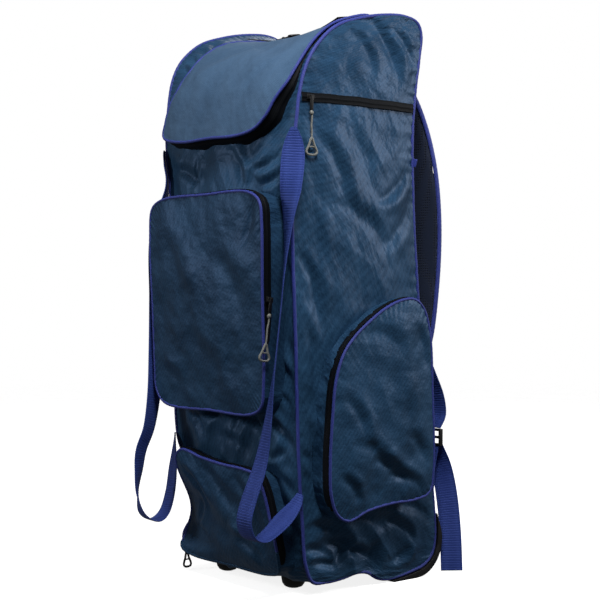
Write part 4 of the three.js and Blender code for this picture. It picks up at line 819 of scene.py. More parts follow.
def lid_out(t, length, lift):
    """A point of the lid's edge, moved outwards in the plane of the lid."""
    edge = lid_point(t, 1.0, lift)
    inward = lid_point(t, 0.97, lift) - edge
    inward /= np.linalg.norm(inward, axis=1)[:, None]
    return edge - inward * length[:, None]


# the lid's lighter tones are painted light from above
lid_cloth = twill_polyester("matte_lid_polyester_painted_lighter", "#344c66", "#4e6884", gloss=0.6, line_mm=4.0, turn=45)
LID_CREASES = [(60, -120, 120, -40, 1.4, 9), (-100, -60, -60, -110, 1.0, 12), (-40, 60, 40, 90, 1.0, 16)]
lid_run = np.interp(LID_MIDDLE_ROW, row_grid, seam_length)


def lid_share(v):
    """How far from the middle of the lid to its edge a row of the sheet lies, closer together at the edge."""
    return 1 - (1 - v) ** 1.25


def lid_flat(u, v):
    """The flat place of a point of the lid, across and along the bag from the lid's middle."""
    edge, share = closed_curve(LID_EDGE, u), lid_share(v)
    run = np.interp(LID_MIDDLE_ROW + (edge[:, 1] - LID_MIDDLE_ROW) * share, row_grid, seam_length)
    return edge[:, 0] * HALF * share, run - lid_run


def lid_place(u, v):
    share = lid_share(v)
    middle = LID_MIDDLE_HEIGHT - CLOTH / 2
    base = middle + (lid_lift(u) - middle) * share
    a, b = lid_point(u, share, 0)[:, 0], lid_flat(u, v)[1]
    slack = 1 - share ** 6
    lift = base + LID_CROWN * (1 - share ** 2) + CLOTH / 2
    lift += (wrinkle(LID_CREASES, a, b) + 1.5 * rumple(a, b, 80, 41) + 0.5 * rumple(a, b, 26, 43)) * slack
    lift += pucker(u * 800, (1 - share) * 120, 21, 0.6, 47) * off_join(u)
    return settle(lid_point(u, share, lift))


lid = cloth_sheet("lid_cloth", 220, 70, lid_place, lid_flat)
finish_piece(give_thickness(lid), lid_cloth, "navy_lid_polyester", "lid_panel")

LID_LENGTH = 860.0
BAND_FLARE = 11.0
trim_cord = piping_section(TRIM_RADIUS)
lid_t = np.arange(0, 1, 1 / 400)
lid_line = settle(lid_point(lid_t, 1.0, lid_lift(lid_t)))
lid_line = even_line(lid_line, PIPING_STEP_MM, True)
upward = np.tile([0.0, -0.5, 1.0], (len(lid_line), 1))
piece = swept("lid_piping_cord", lid_line, upward, trim_cord, PIPING_SIDES, True)
finish_piece(piece, piping_cloth, "blue_piping", "lid_piping")


def lid_band_place(along, across, height):
    top_lift = lid_lift(along) - TRIM_RADIUS + 0.5
    lift = -CLOTH + (top_lift + CLOTH) * across
    flare = BAND_FLARE * (lid_lift(along) - LID_BACK_HEIGHT + CLOTH / 2) / (LID_HEIGHT - LID_BACK_HEIGHT)
    return lid_out(along, height - 1.2 + flare * (1 - across), lift)


zip_strip("lid_zip_tape", LID_LENGTH, lid_band_place, "lid_zip_band", inside=(0, 0, 880))


# Rear of the lid: a black tape lies along its back edge, where the zip's two ends meet. It stands for the zip there
# and for the shade that falls on the lid's back, as painted shade.
REAR_BAND_ACROSS, REAR_BAND_ROWS, REAR_BAND_RISE = (-0.50, 0.84), (11.55, 12.95), 2.4


def rear_band_place(u, v):
    x = (REAR_BAND_ACROSS[0] + (REAR_BAND_ACROSS[1] - REAR_BAND_ACROSS[0]) * u) * HALF
    row = REAR_BAND_ROWS[0] + (REAR_BAND_ROWS[1] - REAR_BAND_ROWS[0]) * v
    share = np.abs(row - LID_MIDDLE_ROW) / (13.5 - LID_MIDDLE_ROW)
    rise = LID_BACK_HEIGHT + (LID_MIDDLE_HEIGHT - LID_BACK_HEIGHT) * (1 - share) + LID_CROWN * (1 - share ** 2)
    return settle(wrap_point(x, row, rise + REAR_BAND_RISE))


rear_band = cloth_sheet("lid_rear_zip_and_shade", 60, 12, rear_band_place, lambda u, v: (u * 220, v * 30), (0, 0, 800))
finish_piece(give_thickness(rear_band, 1.0), zip_tape, "black_zip")


# Pockets: a face panel set out from the body on a gusset, piped round its edge, with a zip let into the gusset.
# The front and lower pockets are painted darker than the body cloth, as painted shade; the side pocket is cut from
# the body cloth.
# the body's navy twill in darker tones: painted shade on the pockets of the front
shaded_pocket_cloth = twill_polyester("deep_navy_polyester", "#10243a", "#2b4a68")


class Pocket:
    """One pocket: its outline on the panel (a across, z up), how far it stands out, and where its zip runs."""

    def __init__(self, name, outline, a_size, centre, level, floor, place, zip_steps):
        self.name = name
        self.outline = np.array(outline) * (a_size, HEIGHT)
        self.centre = np.array(centre)
        self.level, self.floor, self.on_panel = level, floor, place
        self.zip_steps = zip_steps
        t = np.arange(0, 1, 1 / 800)
        edge = self.edge(t)
        self.run = run_length(np.vstack([edge, edge[:1]]))

    def edge(self, t):
        return closed_curve(self.outline, t)

    def drawn_in(self, t, length):
        along = self.edge(t + 0.002) - self.edge(t - 0.002)
        along /= np.linalg.norm(along, axis=1)[:, None]
        normal = np.stack([-along[:, 1], along[:, 0]], 1)
        edge = self.edge(t)
        turned = np.where(((self.centre - edge) * normal).sum(1) < 0, -1.0, 1.0)
        return edge + normal * (turned * length)[:, None]

    def rim(self, t):
        edge = self.edge(t)
        return self.level(edge[:, 0], edge[:, 1]) - CLOTH / 2

    def build(self, cloth, slot_name, crown, creases, folds, a_size, seed,
              gusset_crumple=1.0, rumpled=1.0, hem=None):
        """Makes the pocket's face, piping, hem, gusset and zip."""
        centre, length = self.centre, self.run[-1]
        outward = self.on_panel(np.zeros(1), np.zeros(1), np.ones(1))

        def face_place(u, v):
            share = 1 - (1 - v) ** 1.2
            rim = self.drawn_in(u, 0.5 + 0 * u)
            here = centre + (rim - centre) * share[:, None]
            a, z = here[:, 0], here[:, 1]
            away = np.linalg.norm(rim - here, axis=1)
            slack = 1 - np.exp(-away / 14.0)
            folded = fold_depth(folds, a_size, a, z) * (1 - share ** 4)
            reach = self.level(a, z) + crown * (1 - share ** 2) - folded
            soft = rumpled * (2.4 * rumple(a, z, 90, seed) + 1.6 * crush(a, z, 80, seed + 2))
            reach = reach + (wrinkle(creases, a, z) + soft) * slack
            reach = reach + pucker(u * length, away, 18, 1.0, seed + 4) * off_join(u)
            return settle(self.on_panel(a, z, reach))

        def face_flat(u, v):
            share = 1 - (1 - v) ** 1.2
            here = centre + (self.edge(u) - centre) * share[:, None]
            return here[:, 0], here[:, 1]

        def trim(name, t, section, closed):
            edge = self.edge(t)
            line = self.on_panel(edge[:, 0], edge[:, 1], self.rim(t))
            line = even_line(line, PIPING_STEP_MM, closed)
            return swept(name, settle(line), np.tile(outward, (len(line), 1)), section, PIPING_SIDES, closed)

        def gusset_place(u, v):
            reach = self.rim(u)
            foot = self.floor(self.edge(u)[:, 0], self.edge(u)[:, 1]) - CLOTH - 3
            belly = np.sin(np.pi * v)
            large, small = (rumple(u * length, v * 30, size, seed + more) for size, more in ((26, 6), (11, 7)))
            crumple = gusset_crumple * (1.6 * large + 0.8 * small)
            here = self.drawn_in(u, 0.2 - belly * np.clip(crumple * off_join(u), -1.5, 3.0))
            return settle(self.on_panel(here[:, 0], here[:, 1], foot + (reach - foot) * v))

        def gusset_flat(u, v):
            return u * length, v * 36.0

        face = cloth_sheet(self.name + "_face_cloth", 240, 70, face_place, face_flat)
        finish_piece(give_thickness(face), cloth, slot_name, self.name + "_face")
        piping = trim(self.name + "_piping_cord", np.arange(0, 1, 1 / 800), trim_cord, True)
        finish_piece(piping, piping_cloth, "blue_piping", self.name + "_piping")
        if hem:
            roll = piping_section(1.2 * TRIM_RADIUS)
            finish_piece(trim(self.name + "_rolled_hem", np.linspace(*hem, 200), roll, False), cloth, slot_name)
        gusset = cloth_sheet(self.name + "_gusset_cloth", 360, 14, gusset_place, gusset_flat)
        finish_piece(give_thickness(gusset), cloth, slot_name, self.name + "_gusset")

        first, last = self.zip_steps
        zip_length = length * (last - first)

        def zip_place(along, across, height):
            t = first + (last - first) * along
            ends = np.minimum(np.minimum(along, 1 - along) * zip_length / 26.0, 1)
            top = self.rim(t) - TRIM_RADIUS + 0.6
            here = self.drawn_in(t, -(1.0 + height + 2.5 * np.sin(np.pi * along) * across))
            width = ZIP_WIDTH * (0.35 + 0.65 * np.sqrt(ends))
            return self.on_panel(here[:, 0], here[:, 1], top - width * (1 - across))

        inside = self.on_panel(centre[:1], centre[1:], self.level(centre[:1], centre[1:]) - 20)[0]
        zip_strip(self.name + "_zip_tape", zip_length, zip_place, self.name + "_zip", inside=inside)


def on_front(x, z, reach):
    return np.stack([x + 0 * reach, -reach, z + 0 * reach], 1)


def on_right(y, z, reach):
    return np.stack([reach, y + 0 * reach, z + 0 * reach], 1)


FRONT_POCKET_OUTLINE = [
    (0.425, 0.36), (0.440, 0.50), (0.452, 0.62), (0.435, 0.662), (0.36, 0.678), (0, 0.680), (-0.38, 0.675),
    (-0.455, 0.660), (-0.475, 0.61), (-0.475, 0.50), (-0.475, 0.38), (-0.465, 0.335), (-0.40, 0.312),
    (0, 0.307), (0.33, 0.308), (0.405, 0.322),
]
FRONT_POCKET_CREASES = [
    (-120, 600, -60, 470, 1.8, 18), (30, 560, 110, 430, 1.8, 20), (-60, 420, 40, 350, 2.0, 18),
    (128, 640, 100, 560, 2.0, 9), (-130, 360, -70, 330, 2.0, 10),
]
front_pocket = Pocket(
    "front_pocket", FRONT_POCKET_OUTLINE, WIDTH, (0, 0.495 * HEIGHT),
    lambda x, z: front_reach(0 * z, z) + 30, front_reach, on_front, (1 / 32, 15 / 32),
)
front_pocket.build(shaded_pocket_cloth, "deep_navy_polyester", 7, FRONT_POCKET_CREASES, [], WIDTH, 51, 0.7)

LOWER_POCKET_OUTLINE = [
    (0.435, 0.075), (0.410, 0.130), (0.375, 0.180), (0.330, 0.204), (0.240, 0.211), (0.060, 0.214),
    (-0.110, 0.220), (-0.280, 0.229), (-0.345, 0.215), (-0.375, 0.170), (-0.400, 0.120), (-0.420, 0.070),
    (-0.395, 0.045), (-0.300, 0.035), (0, 0.034), (0.320, 0.034), (0.420, 0.045),
]
LOWER_POCKET_FOLDS = [(-0.30, 0.15, 0.05, 0.10, 0.02, 0.06), (0.10, 0.17, 0.34, 0.08, 0.015, 0.05)]
LOWER_POCKET_CREASES = [
    (-100, 190, -30, 120, 3.4, 9), (-40, 200, 40, 130, 2.6, 10), (50, 190, 120, 90, 3.0, 10),
    (-120, 80, -40, 60, 2.6, 9), (20, 90, 110, 56, 2.8, 9), (-60, 150, -100, 80, 2.6, 9),
]
lower_pocket = Pocket(
    "lower_pocket", LOWER_POCKET_OUTLINE, WIDTH, (0, 0.125 * HEIGHT),
    lambda x, z: front_reach(0 * z, z) + 27, front_reach, on_front, (-1 / 32, 22 / 32),
)
LOWER_POCKET_HEM = (11.6 / 17, 17.1 / 17)
lower_pocket.build(
    shaded_pocket_cloth, "deep_navy_polyester", 6, LOWER_POCKET_CREASES, LOWER_POCKET_FOLDS, WIDTH, 61,
    gusset_crumple=1.0, rumpled=1.3, hem=LOWER_POCKET_HEM,
)

SIDE_POCKET_OUTLINE = [
    (0.470, 0.200), (0.455, 0.330), (0.430, 0.440), (0.375, 0.484), (0.300, 0.499), (0.190, 0.497),
    (0.064, 0.484), (-0.055, 0.464), (-0.170, 0.440), (-0.265, 0.410), (-0.325, 0.365), (-0.350, 0.300),
    (-0.362, 0.230), (-0.350, 0.175), (-0.300, 0.142), (-0.215, 0.129), (-0.060, 0.142), (0.140, 0.149),
    (0.320, 0.150), (0.440, 0.160),
]
SIDE_POCKET_FOLDS = [(-0.30, 0.42, 0.10, 0.36, 0.012, 0.07), (0.10, 0.20, 0.36, 0.24, 0.012, 0.07)]
SIDE_POCKET_CREASES = [
    (-76, 330, -30, 250, 2.6, 10), (-60, 250, 30, 200, 2.6, 11), (-20, 220, 70, 170, 3.0, 10),
    (60, 260, 118, 200, 2.6, 11), (-40, 430, 60, 390, 2.0, 14), (80, 440, 112, 360, 2.4, 11),
    (20, 190, 110, 158, 2.6, 9), (-84, 200, -40, 150, 2.6, 8),
]


def side_pocket_level(y, z):
    return side_reach(0.05 * DEPTH + 0 * z, z) + 34 - CLOTH


side_pocket = Pocket(
    "side_pocket", SIDE_POCKET_OUTLINE, DEPTH, (0.06 * DEPTH, 0.31 * HEIGHT),
    side_pocket_level, side_reach, on_right, (3 / 32, 22 / 32),
)
side_pocket.build(
    body_cloth, "navy_polyester", 9, SIDE_POCKET_CREASES, SIDE_POCKET_FOLDS, DEPTH, 81,
    gusset_crumple=3.0, rumpled=1.2,
)


# Carrying handles: 38 mm blue polypropylene webbing, sewn into the front side seams, hanging in long loops.
WEBBING_WIDTH, WEBBING_THICKNESS = 38.0, 2.4
WEBBING_RIB_MM = 4.2
WEBBING_STEP_MM = 1.05
WEBBING_AROUND = 28

webbing, tree, shader = new_material("blue_ribbed_webbing", {
    "Roughness": 0.5, "Specular IOR Level": 0.35, "Specular Tint": linear("#6f80d8"),
})
# plain-woven polypropylene: rows of yarn across the strap, drawn at 2.1 mm, and a soft sheen
where = add_node(tree, "ShaderNodeTexCoord")
ribs = add_node(tree, "ShaderNodeTexWave", {
    "bands_direction": "Y", "Scale": 314.0 / 2.1, "Distortion": 0.8, "Detail": 1.0,
}, {"Vector": where.outputs["UV"]})
yarn = add_node(tree, "ShaderNodeTexWave", {
    "bands_direction": "X", "Scale": 314.0 / 2.4, "Distortion": 0.8, "Detail": 1.0,
}, {"Vector": where.outputs["UV"]})
# blotches that mix the webbing's shaded and lit tones: painted shade and painted light
blotches = add_node(tree, "ShaderNodeTexNoise", {"Scale": 20.0, "Detail": 3.0}, {"Vector": where.outputs["UV"]})
woven = add_node(tree, "ShaderNodeMix", {
    "data_type": "FLOAT", "Factor": 0.4,
}, {2: ribs.outputs["Fac"], 3: yarn.outputs["Fac"]})
tone = add_node(tree, "ShaderNodeMix", {
    "data_type": "FLOAT", "Factor": 0.5,
}, {2: woven.outputs[0], 3: blotches.outputs["Fac"]})
two_tones(tree, shader, "#22316b", "#3c4f96", tone.outputs[0])
emboss(tree, shader, 0.6, 0.0006, woven.outputs[0])


def strap_path(rows, side, count):
    """Points, width vectors and widths along a strap given by across, out, up, turn and width."""
    at = table_at(np.array(rows, float), np.linspace(0, 1, count))
    points = at[:, :3] * (WIDTH, DEPTH, HEIGHT) * (side, 1, 1)
    turn = np.radians(at[:, 3] if side > 0 else 180 - at[:, 3])
    ahead = np.vstack([points[1:], points[-1:]]) - np.vstack([points[:1], points[:-1]])
    ahead /= np.linalg.norm(ahead, axis=1)[:, None]
    across = np.stack([np.cos(turn), np.sin(turn), 0 * turn], 1)
    across -= (across * ahead).sum(1)[:, None] * ahead
    across /= np.linalg.norm(across, axis=1)[:, None]
    return points, across, at[:, 4]


def strap(name, rows, side, *replaced, settled=False):
    """A length of ribbed webbing along a table of rows, slightly cupped, as the yarn pulls it."""
    points, across, wide = strap_path(rows, side, 400)
    run = run_length(points)
    steps = max(12, int(run[-1] / WEBBING_STEP_MM))
    at = np.linspace(0, run[-1], steps + 1)
    line = np.stack([np.interp(at, run, points[:, i]) for i in range(3)], 1)
    turned = np.stack([np.interp(at, run, across[:, i]) for i in range(3)], 1)
    width = np.interp(at, run, wide) * WEBBING_WIDTH
    if settled:
        tip = settle(line + turned)
        line = settle(line)
        turned = tip - line

    def section(angle, run_mm, share):
        c, s = np.cos(angle), np.sin(angle)
        k = np.rint(share * steps).astype(int)
        rib = 1 + 0.22 * np.cos(2 * np.pi * run_mm / WEBBING_RIB_MM)
        cup = 0.9 * np.sin(run_mm / 61.0 + 1.3) * (np.abs(c) ** 2)
        a = np.sign(c) * np.abs(c) ** 0.5 * width[k] / 2
        b = np.sign(s) * np.abs(s) ** 0.5 * WEBBING_THICKNESS / 2 * rib + cup
        return a, b

    piece = swept(name, line, turned, section, WEBBING_AROUND)
    return finish_piece(piece, webbing, "blue_webbing", *replaced)


RIGHT_HANDLE = [
    (0.5105, -0.5080, 0.786, 50, 0.25), (0.5110, -0.5095, 0.764, 50, 0.75), (0.5150, -0.5190, 0.735, 48, 1),
    (0.527, -0.545, 0.690, 30, 1), (0.525, -0.560, 0.640, -10, 1), (0.520, -0.585, 0.560, -35, 1),
    (0.516, -0.615, 0.470, -40, 1), (0.512, -0.650, 0.385, -38, 1), (0.505, -0.690, 0.300, -22, 1),
    (0.495, -0.740, 0.230, -6, 1), (0.485, -0.805, 0.180, 0, 1), (0.480, -0.840, 0.143, 0, 1),
    (0.480, -0.810, 0.116, 0, 1), (0.484, -0.735, 0.107, 0, 1), (0.492, -0.660, 0.118, 8, 1),
    (0.503, -0.570, 0.140, 20, 0.95), (0.508, -0.495, 0.160, 32, 0.6), (0.509, -0.460, 0.176, 40, 0.3),
]
LEFT_HANDLE = [
    (-0.5660, -0.5005, 0.772, 125, 0.3), (-0.5420, -0.5170, 0.745, 138, 1), (-0.5120, -0.5300, 0.700, 136, 1),
    (-0.520, -0.590, 0.610, 96, 1), (-0.520, -0.590, 0.500, 92, 1), (-0.515, -0.605, 0.400, 96, 1),
    (-0.505, -0.635, 0.325, 108, 1), (-0.498, -0.675, 0.265, 114, 1), (-0.495, -0.735, 0.224, 116, 1),
    (-0.495, -0.752, 0.189, 124, 1), (-0.492, -0.766, 0.148, 142, 1), (-0.488, -0.735, 0.110, 165, 1),
    (-0.485, -0.650, 0.094, 175, 1), (-0.485, -0.570, 0.107, 172, 1), (-0.488, -0.520, 0.143, 170, 1),
    (-0.492, -0.495, 0.189, 165, 1), (-0.498, -0.480, 0.226, 155, 0.7), (-0.506, -0.470, 0.250, 145, 0.3),
]
strap("right_handle_webbing", RIGHT_HANDLE, 1, "right_handle", settled=True)
strap("left_handle_webbing", LEFT_HANDLE, 1, "left_handle")


# Shoulder straps: two foam pads faced with black spacer mesh and bound in blue tape, on the back. Each hangs
# from the top seam and goes on in webbing through a ladder lock to the base, with a loose tail.
PAD_WIDTH, PAD_THICKNESS, BINDING_RADIUS = 64.0, 12.0, 3.0
PAD_ROWS = [
    (0.195, 0.5240, 0.922, 0, 0.80), (0.215, 0.612, 0.902, 0, 0.92), (0.250, 0.672, 0.862, 4, 1),
    (0.295, 0.718, 0.800, 8, 1), (0.328, 0.748, 0.730, 8, 1), (0.342, 0.765, 0.655, 6, 1),
    (0.342, 0.768, 0.580, 4, 1), (0.338, 0.752, 0.505, 2, 1), (0.338, 0.728, 0.440, 2, 0.9),
    (0.345, 0.714, 0.400, 2, 0.6),
]
UPPER_STRAP = [
    (0.346, 0.714, 0.3969, 2, 0.9), (0.368, 0.750, 0.360, 4, 1), (0.388, 0.795, 0.320, 4, 1),
    (0.392, 0.810, 0.285, 2, 1), (0.388, 0.768, 0.2609, 0, 1),
]
LOWER_STRAP = [
    (0.388, 0.752, 0.2261, 0, 1), (0.395, 0.715, 0.190, 0, 1), (0.405, 0.690, 0.155, 0, 1),
    (0.412, 0.6480, 0.125, 0, 1),
]
STRAP_TAIL = [
    (0.400, 0.7758, 0.2265, 4, 1), (0.420, 0.802, 0.195, 16, 1), (0.448, 0.805, 0.155, 34, 1),
    (0.480, 0.795, 0.110, 46, 1), (0.512, 0.775, 0.060, 50, 1), (0.540, 0.750, 0.004, 52, 1),
]

spacer_mesh, tree, shader = new_material("black_spacer_mesh", {
    "Roughness": 0.75, "Specular IOR Level": 0.3, "Sheen Weight": 0.25, "Sheen Tint": linear("#7d8db0"),
})
# knitted polyester mesh: round holes 3 mm apart, drawn 4.5 mm apart so that they show
where = add_node(tree, "ShaderNodeTexCoord")
holes = add_node(tree, "ShaderNodeTexVoronoi", {
    "Scale": 1000.0 / 4.5, "Randomness": 0.15,
}, {"Vector": where.outputs["Object"]})
open_share = add_node(tree, "ShaderNodeMapRange", {
    "From Min": 0.15, "From Max": 0.42,
}, {"Value": holes.outputs["Distance"]})
two_tones(tree, shader, "#04060a", "#161f33", open_share.outputs["Result"])
emboss(tree, shader, 0.7, 0.001, open_share.outputs["Result"])

PAD_STEPS = 130
PAD_VOXEL_M = 0.005
PAD_PUFF_CAP_M = 0.0025
PAD_PRESSURE = 4.0
# the foam is made wider than the gap between its tapes, since the air draws its edges in
PAD_EDGE_SPARE, PAD_SKIN = 4.2, 2.5


def puff(piece, pressure, cap_m, frames=20):
    """Fills a closed cloth form with air for a moment, keeps each point near where it was, and smooths it."""
    remesh = piece.modifiers.new("even_mesh", "REMESH")
    remesh.mode = "VOXEL"
    remesh.voxel_size = PAD_VOXEL_M
    bake(piece)
    start = np.empty(len(piece.data.vertices) * 3, np.float32)
    piece.data.vertices.foreach_get("co", start)
    cloth = piece.modifiers.new("air", "CLOTH")
    cloth.settings.use_pressure = True
    cloth.settings.uniform_pressure_force = pressure
    cloth.settings.effector_weights.gravity = 0
    scene = bpy.context.scene
    for frame_number in range(1, frames + 1):
        scene.frame_set(frame_number)
    bake(piece)
    scene.frame_set(1)
    moved = np.empty_like(start)
    piece.data.vertices.foreach_get("co", moved)
    shift = (moved - start).reshape(-1, 3)
    length = np.linalg.norm(shift, axis=1)[:, None]
    shift *= np.minimum(1, cap_m / np.maximum(length, 1e-9))
    piece.data.vertices.foreach_set("co", (start.reshape(-1, 3) + shift).ravel())
    smooth_mesh = piece.modifiers.new("even_surface", "SMOOTH")
    smooth_mesh.factor = 0.5
    smooth_mesh.iterations = 6
    finer = piece.modifiers.new("finer", "SUBSURF")
    finer.levels = 1
    finer.render_levels = 1
    bake(piece)
    for face in piece.data.polygons:
        face.use_smooth = True


def bake(piece):
    """Applies the piece's modifiers to its mesh."""
    bpy.context.view_layer.update()
    graph = bpy.context.evaluated_depsgraph_get()
    made = bpy.data.meshes.new_from_object(piece.evaluated_get(graph))
    piece.modifiers.clear()
    piece.data = made


for hand, side in (("right", 1), ("left", -1)):
    points, across, wide = strap_path(PAD_ROWS, side, PAD_STEPS + 1)

    def pad_section(angle, run_mm, share, wide=wide):
        k = np.rint(share * PAD_STEPS).astype(int)
        half_width = wide[k] * PAD_WIDTH / 2 - BINDING_RADIUS + PAD_EDGE_SPARE
        c, s = np.cos(angle), np.sin(angle)
        thick = (PAD_THICKNESS / 2 - PAD_SKIN) * (1 - 0.55 * np.abs(c) ** 6)
        return np.sign(c) * np.abs(c) ** 0.6 * half_width, np.sign(s) * np.abs(s) ** 0.6 * thick

    pad = swept(f"{hand}_shoulder_pad_foam", points, across, pad_section, 28)
    puff(pad, PAD_PRESSURE, PAD_PUFF_CAP_M)
    finish_piece(pad, spacer_mesh, "black_spacer_mesh", f"{hand}_shoulder_pad")
    for edge_side, edge_name in ((1, "outer"), (-1, "inner")):
        binding_line = points + across * (edge_side * (wide * PAD_WIDTH / 2 - BINDING_RADIUS))[:, None]

        def binding_section(angle, run_mm, share):
            grip = 1 + 0.06 * np.sin(2 * np.pi * run_mm / 9.0)
            return 1.15 * BINDING_RADIUS * np.cos(angle), 1.4 * BINDING_RADIUS * grip * np.sin(angle)

        binding_line = even_line(binding_line, PIPING_STEP_MM, False)
        sideways = np.tile([float(side), 0.0, 0.0], (len(binding_line), 1))
        piece = swept(f"{hand}_pad_{edge_name}_binding_tape", binding_line, sideways, binding_section, 12)
        finish_piece(piece, piping_cloth, "blue_piping", f"{hand}_pad_{edge_name}_binding")
    strap(f"{hand}_upper_webbing", UPPER_STRAP, side, f"{hand}_upper_strap")
    strap(f"{hand}_lower_webbing", LOWER_STRAP, side, f"{hand}_lower_strap")
    strap(f"{hand}_tail_webbing", STRAP_TAIL, side, f"{hand}_strap_tail")


# Moulded parts: the base tray, wheel housings, feet, skid and ladder locks, all black polypropylene with a
# lightly grained surface and softened edges.
moulded_plastic, tree, shader = new_material("black_moulded_polypropylene", {
    "Roughness": 0.42, "Specular IOR Level": 0.45, "IOR": 1.49,
})
# spark-eroded grain of about half a millimetre, with paler scuffs where it rubs on the ground
where = add_node(tree, "ShaderNodeTexCoord")
on_solid = {"Vector": where.outputs["Object"]}
grain = add_node(tree, "ShaderNodeTexNoise", {"Scale": 900.0, "Detail": 2.0}, on_solid)
scuff = add_node(tree, "ShaderNodeTexNoise", {"Scale": 45.0, "Detail": 5.0, "Roughness": 0.7}, on_solid)
worn = add_node(tree, "ShaderNodeMapRange", {
    "From Min": 0.56, "From Max": 0.72,
}, {"Value": scuff.outputs["Fac"]})
dull = add_node(tree, "ShaderNodeMapRange", {"To Min": 0.36, "To Max": 0.6}, {"Value": scuff.outputs["Fac"]})
two_tones(tree, shader, "#0a0a0c", "#222226", worn.outputs["Result"])
tree.links.new(dull.outputs["Result"], shader.inputs["Roughness"])
emboss(tree, shader, 0.35, 0.0003, grain.outputs["Fac"])

EDGE_ANGLE = math.radians(32)


def hard_edged_piece(name, bm):
    """Turns a bmesh into an object of the scene, smooth but for its hard edges."""
    for face in bm.faces:
        face.smooth = True
    mesh = bpy.data.meshes.new(name)
    bm.to_mesh(mesh)
    bm.free()
    mesh.set_sharp_from_angle(angle=EDGE_ANGLE)
    piece = bpy.data.objects.new(name, mesh)
    bpy.context.scene.collection.objects.link(piece)
    return piece


def softened_copy(node_name, bevel_mm):
    """A copy of a moulded CAD solid with its hard edges rounded over."""
    bm = bmesh.new()
    bm.from_mesh(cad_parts[node_name].data)
    bmesh.ops.remove_doubles(bm, verts=bm.verts, dist=1e-5)
    bmesh.ops.dissolve_limit(bm, angle_limit=math.radians(2), verts=bm.verts, edges=bm.edges)
    bmesh.ops.recalc_face_normals(bm, faces=bm.faces)
    hard = [e for e in bm.edges if e.is_manifold and e.calc_face_angle() > EDGE_ANGLE]
    bmesh.ops.bevel(
        bm, geom=hard, offset=bevel_mm / 1000, offset_type="OFFSET", affect="EDGES", segments=3,
        profile=0.5, material=-1, clamp_overlap=True,
    )
    piece = hard_edged_piece(node_name + "_moulding", bm)
    return finish_piece(piece, moulded_plastic, "black_moulded_plastic", node_name)


softened_copy("base_tray", 1.2)
for hand in ("right", "left"):
    softened_copy(f"{hand}_wheel_housing", 1.0)
    softened_copy(f"{hand}_ladder_lock", 0.8)
    softened_copy(f"{hand}_front_foot", 1.0)
softened_copy("front_skid", 1.0)


# Wheels: black rubber tyres with a ribbed tread on a moulded spun hub, turning on a steel axle.
tyre_rubber, tree, shader = new_material("black_tyre_rubber", {"Roughness": 0.72, "Specular IOR Level": 0.35})
# solid rubber, dull and slightly dusty where it meets the ground
where = add_node(tree, "ShaderNodeTexCoord")
dust = add_node(tree, "ShaderNodeTexNoise", {
    "Scale": 70.0, "Detail": 5.0,
}, {"Vector": where.outputs["Object"]})
two_tones(tree, shader, "#0c0c0d", "#2a2a2b", dust.outputs["Fac"])
emboss(tree, shader, 0.3, 0.0004, dust.outputs["Fac"])

axle_steel, tree, shader = new_material("bright_steel", {"Metallic": 1.0, "Roughness": 0.3})
# drawn steel rod: bright, with faint rings from turning
where = add_node(tree, "ShaderNodeTexCoord")
rings = add_node(tree, "ShaderNodeTexNoise", {
    "Scale": 300.0, "Detail": 2.0,
}, {"Vector": where.outputs["Object"]})
two_tones(tree, shader, "#9a9b98", "#c4c5c2", rings.outputs["Fac"])

WHEEL_X = 129.0
# radius and distance along the axle from the middle of the wheel
TYRE_PROFILE = [
    (19, -7), (20.5, -9.5), (28, -10.5), (33, -11.6), (35.2, -9.6), (35.9, -6.4), (36, -5.2), (34.9, -4.6),
    (34.9, -3.6), (36, -3.0), (36, 3.0), (34.9, 3.6), (34.9, 4.6), (36, 5.2), (35.9, 6.4), (35.2, 9.6),
    (33, 11.6), (28, 10.5), (20.5, 9.5), (19, 7),
]
HUB_PROFILE = [
    (4.3, -11.5), (8, -11.8), (9, -11), (9.4, -8), (18.4, -7.4), (18.9, -6.4), (18.9, 6.4), (18.4, 7.4),
    (9.4, 8), (9, 11), (8, 11.8), (4.3, 11.5),
]


def spun_on_axle(name, profile, x, steps):
    """A closed profile of radius and width spun about the axle."""
    bm = bmesh.new()
    verts = [bm.verts.new((x + along, AXLE_MM[1], AXLE_MM[2] + radius)) for radius, along in profile]
    edges = [bm.edges.new((verts[i], verts[(i + 1) % len(verts)])) for i in range(len(verts))]
    bmesh.ops.spin(
        bm, geom=verts + edges, cent=(x, AXLE_MM[1], AXLE_MM[2]), axis=(1, 0, 0), angle=2 * math.pi,
        steps=steps, use_merge=True,
    )
    bmesh.ops.remove_doubles(bm, verts=bm.verts, dist=1e-4)
    bmesh.ops.recalc_face_normals(bm, faces=bm.faces)
    for vert in bm.verts:
        vert.co = Vector(in_frame(vert.co))
    return hard_edged_piece(name, bm)


for hand, side in (("right", 1), ("left", -1)):
    wheel_body = f"{hand}_wheel_body"
    tyre = spun_on_axle(f"{hand}_tyre", TYRE_PROFILE, side * WHEEL_X, 64)
    finish_piece(tyre, tyre_rubber, "black_wheel_rubber", f"{hand}_wheel", body=wheel_body)
    hub = spun_on_axle(f"{hand}_hub", HUB_PROFILE, side * WHEEL_X, 48)
    finish_piece(hub, moulded_plastic, "black_moulded_plastic", body=wheel_body)
    axle_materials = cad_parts[f"{hand}_axle"].data.materials
    axle_materials.clear()
    axle_materials.append(axle_steel)


# Zip pulls: a cast slider on each zip with a flat tab, a knotted cord and a rounded triangle ring of grey
# plastic. The lid's and the lower pocket's pulls are black and short.
PULL_NECK, PULL_RING, KNOT_RADIUS, NECK_RADIUS = 42.0, 24.0, 3.6, 1.5
RING_WIRE, BAR_WIRE = 1.9, 1.3
